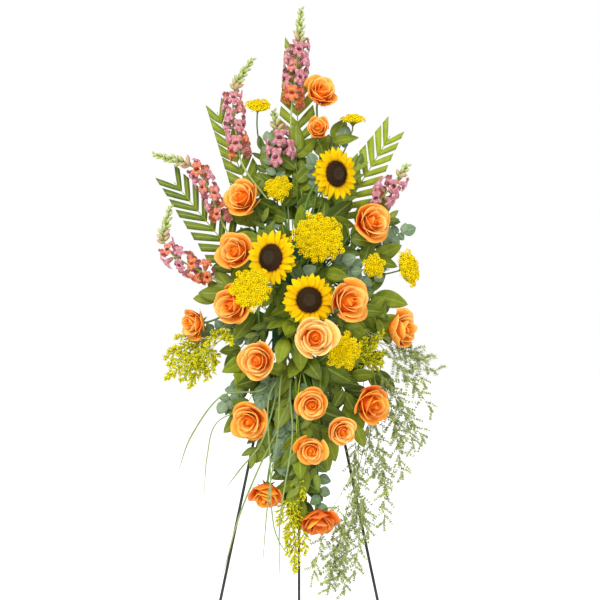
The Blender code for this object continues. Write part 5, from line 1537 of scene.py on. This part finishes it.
class Frond(NamedTuple):
    """Trimmed frond: the ends of its rib as seen, leaflets a side, their length and fullness, its shade."""

    base: tuple
    tip: tuple
    leaflets: int
    left: float
    right: float
    left_full: float
    right_full: float
    shade: float


FRONDS = {
    "palm_top": Frond((299, 158, 0.024), (295, 48, 0.030), 8, 0.062, 0.062, 0.78, 0.76, 0.50),
    "palm_upper_left": Frond((258, 214, 0.026), (217, 112, 0.028), 8, 0.052, 0.062, 0.92, 0.84, 0.42),
    "palm_left": Frond((240, 262, 0.022), (174, 182, 0.026), 8, 0.074, 0.074, 0.78, 0.68, 0.12),
    "palm_right": Frond((338, 220, 0.024), (390, 136, 0.028), 8, 0.078, 0.062, 0.84, 0.68, 0.72),
}
print("fronds", len(FRONDS))

# %% [markdown]
# The leaflets of a side get shorter toward the tip and lie closer to the rib. One formula serves both
# sides of all four fronds.

# %% Grow the palm fronds
# Angle of the lowest and the highest leaflet off the rib
LEAFLET_ANGLES = (math.radians(49.0), math.radians(30.0))
LEAFLET_TAPER = 0.26
LEAFLET_DROOP = 0.004
LEAFLET_SPREAD = 1.13
LEAFLET_ROOT = 0.60
BLADE_THICKNESS = 0.0006
PALM_FINISH = leaf_finish(
    "palm_leaflet",
    dark=(0.060, 0.115, 0.006),
    pale=(0.36, 0.45, 0.012),
    rib=(0.38, 0.46, 0.06),
    roughness=0.42,
    patches=45.0,
)


def palm(name, frond, draw):
    """Rib, stalk and leaflets of one frond."""
    base, tip = seen_at(*frond.base), seen_at(*frond.tip)
    foot = FEET[name]
    along = (tip - base).normalized()
    face = (OUT - along * OUT.dot(along)).normalized()
    across = along.cross(face)
    end = foot.mouth(PLUG_BEYOND)
    distance = (base - end).length
    stalk = arc_path(base, -along * distance * 0.35, end, foot.way * distance * 0.4, 12)
    blades = Cutting()
    rib = [tip, tip.lerp(base, 0.5)] + stalk + [foot.mouth(-STEM_DEPTH)]
    blades.tube(rib, lambda share: 0.0007 + 0.0016 * min(1.0, 2 * share), 6, 0.5, 0.9)
    pitch = (tip - base).length / frond.leaflets
    for side, length, full in ((-1, frond.left, frond.left_full), (1, frond.right, frond.right_full)):
        for k in range(frond.leaflets):
            low, high = LEAFLET_ANGLES
            angle = low + (high - low) * k / (frond.leaflets - 1)
            way = along * math.cos(angle) + across * (side * math.sin(angle))
            reach = length * (1.0 - LEAFLET_TAPER * k / frond.leaflets) * draw.uniform(0.96, 1.0)
            inner = base + along * (pitch * k)
            wide = along * (pitch * full * LEAFLET_SPREAD * draw.uniform(0.94, 1.04))
            outer_low = inner + way * reach - wide * 0.20 - face * LEAFLET_DROOP
            outer_high = outer_low + wide - way * (reach * 0.10)
            phase = draw.uniform(-0.0016, 0.0016)

            def leaflet(u, v):
                low = inner.lerp(outer_low, v)
                high = (inner + along * (pitch * LEAFLET_ROOT)).lerp(outer_high, v)
                belly = 1.0 + 0.10 * math.sin(math.pi * v)
                ridge = 0.0030 * (1.0 - abs(u)) * math.sin(math.pi * min(1.0, v + 0.08))
                return low.lerp(high, u * 0.5 * belly + 0.5) + face * (ridge + phase * math.sin(math.pi * v))

            blades.sheet(leaflet, 4, 7, 0.5, frond.shade + draw.uniform(-0.12, 0.12))
    grown = grow(f"{name}_blade", blades, PALM_FINISH, thickness=BLADE_THICKNESS)
    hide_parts(name)
    return len(blades.points)


print("palm points", sum(palm(name, frond, draw) for name, frond in FRONDS.items()))

# %% [markdown]
# ## Eucalyptus
# Silver-dollar eucalyptus has round, waxy, blue-green leaves in pairs along a thin twig. The wax is a
# powdery bloom, so the finish is rough and pale rather than shiny.

# %% Eucalyptus


class Twig(NamedTuple):
    """Twig of a foliage node: the place of its tip and of a bend on the way, as seen."""

    tip: tuple
    bend: tuple


TWIGS = {
    "eucalyptus_right": (
        Twig((343, 138, 0.035), (330, 180, 0.050)),
        Twig((314, 166, 0.090), (322, 196, 0.070)),
        Twig((403, 232, 0.040), (372, 240, 0.050)),
    ),
    "eucalyptus_left": (
        Twig((204, 330, 0.040), (232, 326, 0.050)),
        Twig((226, 402, 0.050), (246, 372, 0.045)),
        Twig((262, 400, 0.070), (270, 376, 0.060)),
    ),
}


def twig_paths(plant, twigs, count):
    """The twigs of a plant, each with its path from the tip over the bend to its seat."""
    foot = FEET[plant]
    for end, twig in zip(seats(foot, [seen_at(*twig.bend) for twig in twigs]), twigs):
        shift = detour(plant, *twig.tip[:2])
        tip, bend = seen_at(*twig.tip), seen_at(*twig.bend)
        last = [end + leaving(foot, end) * ((bend - end).length * 0.3), end]
        yield twig, smooth_path([tip + shift * 0.5, bend + shift] + last, count)


print("eucalyptus twigs", {plant: len(twigs) for plant, twigs in TWIGS.items()})

# %% [markdown]
# The leaves sit in pairs that get larger away from the tip, and one more leaf ends the twig.

# %% Grow the eucalyptus
ROUND_LEAF, ROUND_HALF, ROUND_SPREAD = 0.031, 0.43, 60.0
LEAF_PAIRS = 4
EUCALYPTUS_FINISH = leaf_finish(
    "eucalyptus_leaf",
    dark=(0.11, 0.19, 0.09),
    pale=(0.24, 0.33, 0.19),
    rib=(0.31, 0.40, 0.25),
    roughness=0.62,
)


def eucalyptus(plant, draw):
    stalks, leaves = Cutting(), Cutting()
    foot_plug(stalks, plant)
    for _, path in twig_paths(plant, TWIGS[plant], 16):
        stalks.tube(path, lambda share: 0.0008 + 0.0007 * share, 6)
        way = (path[0] - path[1]).normalized()
        flat = {"fold": 0.1, "wave": 0.03, "pointed": 0.0}
        shape = leaf_shape(path[0], way, facing_viewer(way), ROUND_LEAF, ROUND_HALF, 0.0, draw, **flat)
        leaves.sheet(shape, 6, 8, 0.5, draw.random())
        for pair in range(LEAF_PAIRS):
            for side in (-1, 1):
                at = 0.03 + 0.09 * pair + 0.02 * side
                size = ROUND_LEAF * (0.75 + 0.08 * pair)
                side_leaf(leaves, path, at, side, size, draw, ROUND_HALF, ROUND_SPREAD)
    grown = grow(
        f"{plant}_leaves",
        leaves,
        EUCALYPTUS_FINISH,
        thickness=LEAF_THICKNESS,
    )
    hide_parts(plant)
    grow(f"{plant}_twigs", stalks, STALK_FINISH)
    return len(stalks.points) + len(leaves.points)


print("eucalyptus points", sum(eucalyptus(plant, draw) for plant in TWIGS))

# %% [markdown]
# ## Solidago
# Solidago, or goldenrod, ends in soft pointed plumes: side branches arch over, and tiny yellow-green heads
# sit close together along them. The heads are too small to see their rays. Round beads in their place
# would look like berries, so each is a slim pointed knob that looks out and ahead.

# %% Solidago plumes
PLUMES = {
    "solidago_left": (
        Twig((166, 374, 0.030), (192, 350, 0.055)),
        Twig((186, 388, 0.045), (205, 350, 0.060)),
        Twig((214, 372, 0.060), (218, 346, 0.070)),
        Twig((168, 350, 0.040), (200, 340, 0.045)),
    ),
    "solidago_lower": (
        Twig((386, 352, 0.050), (366, 360, 0.060)),
        Twig((298, 572, 0.040), (301, 520, 0.035)),
        Twig((286, 540, 0.050), (292, 500, 0.045)),
    ),
}
# Further tips that fork from the stem of the plume whose tip is named
PLUME_FORKS = {
    (386, 352): ((384, 332, 0.085), (366, 338, 0.095), (376, 346, 0.090)),
    (214, 372): ((232, 344, 0.110), (206, 346, 0.080)),
    (168, 350): ((164, 358, 0.050),),
    (286, 540): ((304, 500, 0.060),),
}
PLUME_CLEAR = 0.026
for twig in (twig for twigs in PLUMES.values() for twig in twigs):
    middle = tuple((a + b) / 2 for a, b in zip(twig.tip, twig.bend))
    for place in (twig.tip, middle, *PLUME_FORKS.get(twig.tip[:2], ())):
        KEEP_CLEAR.append(Clear(*place[:2], PLUME_CLEAR, seen_at(*place).y))


GREEN_HEAD = ((0.0, (0.34, 0.42, 0.0)), (1.0, (0.66, 0.66, 0.02)))
YELLOW_HEAD = ((0.0, (0.60, 0.56, 0.0)), (1.0, (0.90, 0.80, 0.02)))
PLUME_FINISH = Finish("solidago_head", 0.8, gloss=0.2, glow=0.05).between(GREEN_HEAD, YELLOW_HEAD, 300.0, 0.2)
print("places to keep clear", len(KEEP_CLEAR))

# %% [markdown]
# A plume is narrow at its tip and widest below its middle. Each twig carries one, and so do its forks.

# %% Grow the solidago
PLUME_LENGTH, PLUME_RADIUS = 0.090, 0.0135
PLUME_HEADS = 9
HEAD_RINGS = ((0.35, 0.0), (0.62, 0.9), (0.16, 2.3))
FORK_STEM = 0.0006


def plume(cutting, path, draw, rows=30, fullness=1.0):
    """Plume along the start of a path: arching side branches all set with small heads."""
    length = min(PLUME_LENGTH, path_length(path) * 0.95)
    for row in range(rows):
        share = (row + 0.5) / rows
        (root, ahead), = points_along(path, [length * share])
        out = round_about(ahead, GOLDEN_TURN * row)
        reach = PLUME_RADIUS * fullness * (0.08 + 1.05 * math.sin(math.pi * min(1.0, share * 0.72)) ** 1.25)
        half_way = root + out * reach * 0.6 + ahead * reach * 0.7
        branch = smooth_path([root, half_way, root + out * reach + ahead * reach * 1.1], 4)
        cutting.tube(branch, 0.0005, 3, 0.5, 0.1)
        for spot in range(PLUME_HEADS):
            point, _ = point_at(branch, 0.2 + 0.8 * spot / (PLUME_HEADS - 1) * (len(branch) - 1))
            aside = Vector((draw.uniform(-1, 1), draw.uniform(-1, 1), draw.uniform(-1, 1)))
            way = out * 0.7 + ahead * 0.9 + aside * 0.8
            rings = scaled(HEAD_RINGS, draw.uniform(0.0022, 0.0034))
            cutting.knob(aim(point, way), 4, 0.5, draw.uniform(0.1, 1.0), rings)


def solidago(plant, draw):
    heads = Cutting()
    foot_plug(heads, plant)
    for twig, path in twig_paths(plant, PLUMES[plant], 18):
        heads.tube(path, lambda share: 0.0006 + 0.0008 * share, 5, 0.5, 0.1)
        plume(heads, path, draw)
        for side in (-1, 1):
            fork = path[6]
            aside = (path[0] - fork).cross(TO_VIEWER).normalized() * (side * draw.uniform(0.016, 0.024))
            tip = path[0].lerp(fork, 0.30) + aside
            branch = smooth_path([tip, tip.lerp(fork, 0.5) + aside * 0.35, fork], 8)
            heads.tube(branch, FORK_STEM, 4, 0.5, 0.1)
            plume(heads, branch, draw, 16, 0.8)
        for place in PLUME_FORKS.get(twig.tip[:2], ()):
            tip, fork = seen_at(*place), path[8]
            branch = smooth_path([tip, tip.lerp(fork, 0.5) + OUT * 0.006, fork], 8)
            heads.tube(branch, FORK_STEM, 4, 0.5, 0.1)
            plume(heads, branch, draw, 20, 0.85)
    grown = grow(f"{plant}_plumes", heads, PLUME_FINISH)
    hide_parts(plant)
    return len(heads.points)


print("solidago points", sum(solidago(plant, draw) for plant in PLUMES))

# %% [markdown]
# ## Asparagus fern
# The fern that hangs at the lower right isn't a true fern: what look like leaves are whorls of short soft
# needles. Hair particles would be the quick way, but they don't export. Every needle is a thin pointed
# tube of its own, in whorls along side branches that stand on all sides of the stem.

# %% Asparagus fern
FERN_STEMS = {
    "asparagus_fern": (
        Twig((436, 372, 0.030), (400, 352, 0.045)),
        Twig((432, 412, 0.040), (404, 372, 0.050)),
        Twig((410, 446, 0.030), (392, 404, 0.040)),
        Twig((386, 492, 0.030), (378, 440, 0.030)),
        Twig((368, 536, 0.030), (358, 470, 0.025)),
        Twig((344, 592, 0.030), (346, 510, 0.035)),
        Twig((322, 590, 0.045), (330, 530, 0.035)),
    ),
}
print("fern stems", len(FERN_STEMS["asparagus_fern"]))

# %% [markdown]
# A whorl is a ring of needles of one green. Leaves cut from a picture would look flat from the side.

# %% Fern needles
NEEDLE, NEEDLE_RADIUS = 0.0074, 0.00095
WHORL_NEEDLES = 8


def fern_finish():
    needle = Finish("fern_needle", 0.7, gloss=0.12)
    green = needle.mix(needle.places().draw, (0.19, 0.28, 0.045), (0.64, 0.70, 0.27))
    return needle.colour(needle.mottled(green, 80.0, 0.2))


def needle_whorl(cutting, point, ahead, draw):
    """Short needles that stand out round a branch."""
    first = draw.uniform(0.0, math.tau)
    shade = draw.random()
    for k in range(WHORL_NEEDLES):
        out = round_about(ahead, first + math.tau * k / WHORL_NEEDLES)
        way = (out + ahead * draw.uniform(-0.4, 1.0)).normalized()
        cutting.spike(point, point + way * (NEEDLE * draw.uniform(0.7, 1.1)), NEEDLE_RADIUS, 0.5, shade)


print("needles of a whorl", WHORL_NEEDLES)

# %% [markdown]
# Every stem and two forks of it carry side branches with whorls. A branch in front of a bloom is left off.

# %% Grow the fern
# Length of a stem's leafy part, length of a side branch, and how far right the fern may reach
FERN_LEAFY, FERN_BRANCH, FERN_REACH = 0.165, 0.040, 0.270
FERN_DROOP = 0.12
WHORLS = 6
# Side branches of a stem that ends above and below this height in the view
FERN_THIN_ABOVE = 430
FERN_BRANCHES = (15, 22)


def leafy_run(cutting, path, branches, draw):
    """Side branches with whorls of needles, all along the start of a path."""
    leafy = min(FERN_LEAFY, path_length(path) * 0.9)
    steps = [leafy * (k + 0.3) / branches for k in range(branches)]
    for k, (root, ahead) in enumerate(points_along(path, steps)):
        out = round_about(ahead, GOLDEN_TURN * k)
        way = (out + ahead * draw.uniform(0.4, 0.9)).normalized()
        reach = FERN_BRANCH * draw.uniform(0.6, 1.0)
        branch = [root, root + way * reach * 0.5, root + way * reach - STRAIGHT_UP * reach * FERN_DROOP]
        if covers(branch[1]) or covers(branch[2]):
            continue
        cutting.tube(branch, lambda share: 0.0005 - 0.0003 * share, 3, 0.5, 0.5)
        spots = [reach * (0.02 + 0.165 * j + draw.uniform(0.0, 0.05)) for j in range(WHORLS)]
        for point, backward in points_along(branch, spots):
            needle_whorl(cutting, point, -backward, draw)


def fern(plant, draw):
    needles = Cutting()
    foot_plug(needles, plant)
    for twig, path in twig_paths(plant, FERN_STEMS[plant], 18):
        branches = FERN_BRANCHES[twig.tip[1] > FERN_THIN_ABOVE]
        needles.tube(path, lambda share: 0.0006 + 0.0007 * share, 5, 0.5, 0.5)
        leafy_run(needles, path, branches, draw)
        for side in (-1, 1):
            fork = path[9 + side]
            aside = ACROSS * (side * draw.uniform(0.020, 0.036)) + UP * draw.uniform(0.01, 0.05)
            tip = path[0] + aside + OUT * draw.uniform(-0.012, 0.012)
            tip.x = min(tip.x, FERN_REACH)
            branch = smooth_path([tip, tip.lerp(fork, 0.5) + aside * 0.4, fork], 10)
            needles.tube(branch, lambda share: 0.0005 + 0.0004 * share, 4, 0.5, 0.5)
            leafy_run(needles, branch, branches, draw)
    grown = grow(f"{plant}_needles", needles, fern_finish())
    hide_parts(plant)
    return len(needles.points)


print("fern points", sum(fern(plant, draw) for plant in FERN_STEMS))

# %% [markdown]
# ## Bear grass
# Bear grass hangs out of the spray in long arcs. Each blade is a stiff ribbon a few millimetres wide with
# a keel. A flat strip would vanish when it is seen edge on, so the ribbon keeps its keel here.

# %% Bear grass
GRASS = (
    ((262, 392, 0.085), (222, 398, 0.075), (192, 436, 0.070), (178, 472, 0.065)),
    ((270, 400, 0.075), (226, 420, 0.080), (211, 456, 0.070), (204, 500, 0.060)),
    ((276, 396, 0.100), (262, 442, 0.110), (240, 470, 0.090), (226, 488, 0.080)),
    ((280, 388, 0.120), (277, 440, 0.125), (268, 500, 0.105), (262, 574, 0.090)),
    ((290, 396, 0.120), (292, 440, 0.150), (280, 520, 0.125), (280, 588, 0.085)),
    ((288, 404, 0.095), (258, 470, 0.105), (238, 520, 0.085), (222, 578, 0.075)),
    ((286, 400, 0.105), (287, 460, 0.120), (283, 530, 0.100), (296, 566, 0.095)),
)
GRASS_HALF = 0.0019
GRASS_GREENS = ((0.0, (0.35, 0.40, 0.14)), (0.4, (0.24, 0.34, 0.11)), (1.0, (0.14, 0.24, 0.06)))


def grass_finish():
    blade = Finish("bear_grass_blade", 0.45, gloss=0.4)
    at = blade.places()
    green = blade.ramp(at.v, GRASS_GREENS)
    blade.veins(at.u, at.v, 4.0, 0.5, 0.0005)
    return blade.colour(blade.mottled(green, 60.0, 0.2))


def bear_grass(plant, draw):
    foot = FEET[plant]
    blades = Cutting()
    foot_plug(blades, plant)
    ends = seats(foot, [seen_at(*places[0]) for places in GRASS])
    for end, places in zip(ends, GRASS):
        shift = detour(plant, *places[3][:2])
        knots = [seen_at(*place) for place in places]
        shifted = [knots[3], knots[2] + shift * 0.5, knots[1] + shift, knots[0] + shift]
        path = smooth_path(shifted + [end + leaving(foot, end) * 0.03, end], 40)
        blades.tube(path, lambda share: GRASS_HALF * min(1.0, 0.25 + 4 * share), 4, 0.5, draw.random())
    grown = grow(f"{plant}_blades", blades, grass_finish())
    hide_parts(plant)
    return len(blades.points)


print("grass points", bear_grass("bear_grass", draw))

# %% [markdown]
# ## Greens between the blooms
# Behind the blooms a spray is closed with more greens, so that no foam shows: broad lemon leaf, a
# small-leaved ruscus, and bits of eucalyptus. Placing each by hand would take long, and the eye can't
# tell. So their tips follow a rule that spreads them evenly between two edges of the diamond.

# %% Places of the greens
# Left and right edge of the greens at heights in the view
GREEN_EDGES = (
    (140, 268, 340), (190, 248, 382), (240, 226, 398), (300, 208, 408),
    (350, 226, 394), (400, 230, 380), (450, 246, 342), (500, 290, 300),
)
GREEN_STEMS = 95
# Stems with a place of their own, where the foam would show between the blooms
FOAM_GREENS = (
    (288, 266, 0.135), (304, 272, 0.130), (326, 272, 0.125), (278, 322, 0.130),
    (268, 308, 0.115), (286, 338, 0.115), (296, 258, 0.120), (342, 262, 0.115),
    (292, 322, 0.140), (301, 260, 0.150), (280, 284, 0.150), (250, 228, 0.090),
    (262, 220, 0.070), (350, 272, 0.105), (357, 228, 0.070), (352, 332, 0.100),
    (344, 322, 0.090), (362, 354, 0.060), (258, 336, 0.080), (243, 336, 0.060),
    (360, 388, 0.050), (262, 150, 0.030), (270, 170, 0.040), (252, 226, 0.040),
    (332, 397, 0.050), (352, 268, 0.060), (384, 322, 0.040), (282, 352, 0.110),
    (246, 224, 0.035), (296, 176, 0.030), (333, 316, 0.110), (328, 326, 0.120),
    (352, 404, 0.045),
)
# Three more at the lower end, below rose_16
LOW_GREENS = ((306, 502, 0.020), (294, 500, 0.020), (321, 503, 0.025))


def green_edges(down):
    """Left and right edge at a height in the view."""
    for (top, left, right), (bottom, next_left, next_right) in zip(GREEN_EDGES, GREEN_EDGES[1:]):
        if down <= bottom:
            share = (down - top) / (bottom - top)
            return left + (next_left - left) * share, right + (next_right - right) * share


print("greens with a place of their own", len(FOAM_GREENS) + len(LOW_GREENS))

# %% [markdown]
# A green's stem comes out of the foam's face on the line to the foam's middle. A leaf that would hide a
# bloom is left off, as a florist would pull it off.

# %% Faces of the foam and hidden blooms
FOAM_MIDDLE = FOAM_BACK + FOAM_HALF_DEEP
# Points of a leaf, as (u, v), that are looked at when it is tested against the blooms
LEAF_PROBES = ((0.0, 0.25), (0.0, 0.5), (-0.9, 0.5), (0.9, 0.5), (0.0, 0.75), (0.0, 1.0))


def hides_bloom(shape):
    """Tells whether a leaf would hang in front of a bloom or a plume, or run through it."""
    return any(covers(shape(u, v)) for u, v in LEAF_PROBES)


def foam_face(point):
    """Point of the foam's face on the line from the foam's middle to a point, and its distance there."""
    middle = on_board(0.0, 0.0, FOAM_MIDDLE)
    line = point - middle
    reaches = ((ACROSS, FOAM_SIDE), (UP, FOAM_HALF_TALL), (OUT, FOAM_HALF_DEEP))
    share = min(half / max(abs(line.dot(axis)), 1e-6) for axis, half in reaches)
    return middle + line * min(1.0, share * 0.92), line.length * (1.0 - share)


print("middle of the foam", [round(c, 3) for c in on_board(0.0, 0.0, FOAM_MIDDLE)])

# %% [markdown]
# Three kinds of green take turns, so that no patch of them looks like the next.

# %% Grow the greens
RUSCUS_FINISH = leaf_finish(
    "ruscus_leaf",
    dark=(0.045, 0.10, 0.012),
    pale=(0.26, 0.32, 0.03),
    rib=(0.28, 0.34, 0.06),
    roughness=0.42,
)
# A tip nearer to the foam than this moves outward
SHORTEST_GREEN, OUTWARD = 0.03, 0.075
MOST_LEAVES = 9


class Green(NamedTuple):
    """Kind of green: bounds of a leaf's length, its half width in lengths, and how its leaves stand."""

    shortest: float
    longest: float
    half: float
    spread: float
    pitch: float


ROUND = Green(0.026, 0.033, ROUND_HALF, ROUND_SPREAD, 0.014)
BROAD = Green(0.052, 0.070, SALAL_HALF, LEAF_SPREAD, 0.030)
SMALL = Green(0.032, 0.044, 0.22, 42.0, 0.013)


def greens(draw):
    stalks = Cutting()
    leaves = {BROAD: Cutting(), SMALL: Cutting(), ROUND: Cutting()}
    top, bottom = GREEN_EDGES[0][0], GREEN_EDGES[-1][0]
    for k in range(GREEN_STEMS + len(LOW_GREENS)):
        down = top + (bottom - top) * ((0.31 + k * 0.7549) % 1.0)
        left, right = green_edges(down)
        tip = seen_at(left + (right - left) * ((0.17 + k * 0.5698) % 1.0), down, draw.uniform(0.026, 0.070))
        if k < len(FOAM_GREENS):
            tip = seen_at(*FOAM_GREENS[k])
        if k >= GREEN_STEMS:
            tip = seen_at(*LOW_GREENS[k - GREEN_STEMS])
        root, clear = foam_face(tip)
        if clear < SHORTEST_GREEN:
            tip += OUT * OUTWARD
            root, clear = foam_face(tip)
        bend = tip.lerp(root, 0.5) + OUT * 0.008 + UP * draw.uniform(-0.01, 0.01)
        path = smooth_path([tip, bend, root], 12)
        stalks.tube(path, lambda share: 0.0008 + 0.0010 * share, 5)
        way = (path[0] - path[1]).normalized()
        kind = ROUND if k % 6 == 1 else BROAD if k % 3 else SMALL
        sheets = leaves[kind]
        length = draw.uniform(kind.shortest, kind.longest)
        shape, shade = leaf_shape(tip, way, facing_viewer(way), length, kind.half, 0.05, draw), draw.random()
        if not hides_bloom(shape):
            sheets.sheet(shape, 4, 8, 0.5, shade)
        for leaf in range(min(MOST_LEAVES, int(path_length(path) * 0.8 / kind.pitch))):
            at = FIRST_LEAF + leaf * kind.pitch / path_length(path)
            side_leaf(sheets, path, at, (-1) ** leaf, length, draw, kind.half, kind.spread, hides_bloom)
    broad, slim = LEAF_THICKNESS, BLADE_THICKNESS
    grow("greens_stalks", stalks, STALK_FINISH)
    grow("greens_broad_leaves", leaves[BROAD], SALAL_FINISH, thickness=broad)
    grow("greens_small_leaves", leaves[SMALL], RUSCUS_FINISH, thickness=slim)
    grow("greens_round_leaves", leaves[ROUND], EUCALYPTUS_FINISH, thickness=slim)
    return sum(len(cutting.points) for cutting in (stalks, *leaves.values()))


print("greens points", greens(draw))

# %% [markdown]
# ## Easel, cage and foam
# The easel, the cage and the foam keep the frame's own shapes, which are right as they are. They only need
# their finish: dark lacquered wire, matt green plastic, and foam with its fine open cells.

# %% Easel, cage and foam


def wire_finish():
    wire = Finish("dark_wire", 0.38, gloss=0.5, metal=0.6)
    wire.bump(wire.noise(600.0), 0.25, 0.0003)
    return wire.colour(wire.patchy(40.0, (0.018, 0.024, 0.020), (0.040, 0.050, 0.042)))


def plastic_finish():
    plastic = Finish("cage_plastic", 0.45)
    plastic.bump(plastic.noise(900.0), 0.15, 0.0003)
    return plastic.colour(plastic.patchy(25.0, (0.015, 0.075, 0.025), (0.025, 0.105, 0.035)))


def foam_finish():
    foam = Finish("wet_foam", 0.95, gloss=0.15)
    foam.bump(foam.noise(1800.0, 6.0), 0.8, 0.0012)
    cells = foam.patchy(60.0, (0.020, 0.085, 0.035), (0.035, 0.125, 0.050))
    return foam.colour(foam.mottled(cells, 900.0, 0.4))


FRAME_FINISHES = {"easel": wire_finish(), "foam_cage": plastic_finish(), "foam_block": foam_finish()}
for name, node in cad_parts.items():
    for start, material in FRAME_FINISHES.items():
        if name.startswith(start):
            node.data.materials.clear()
            node.data.materials.append(material)
            print("finished", name)
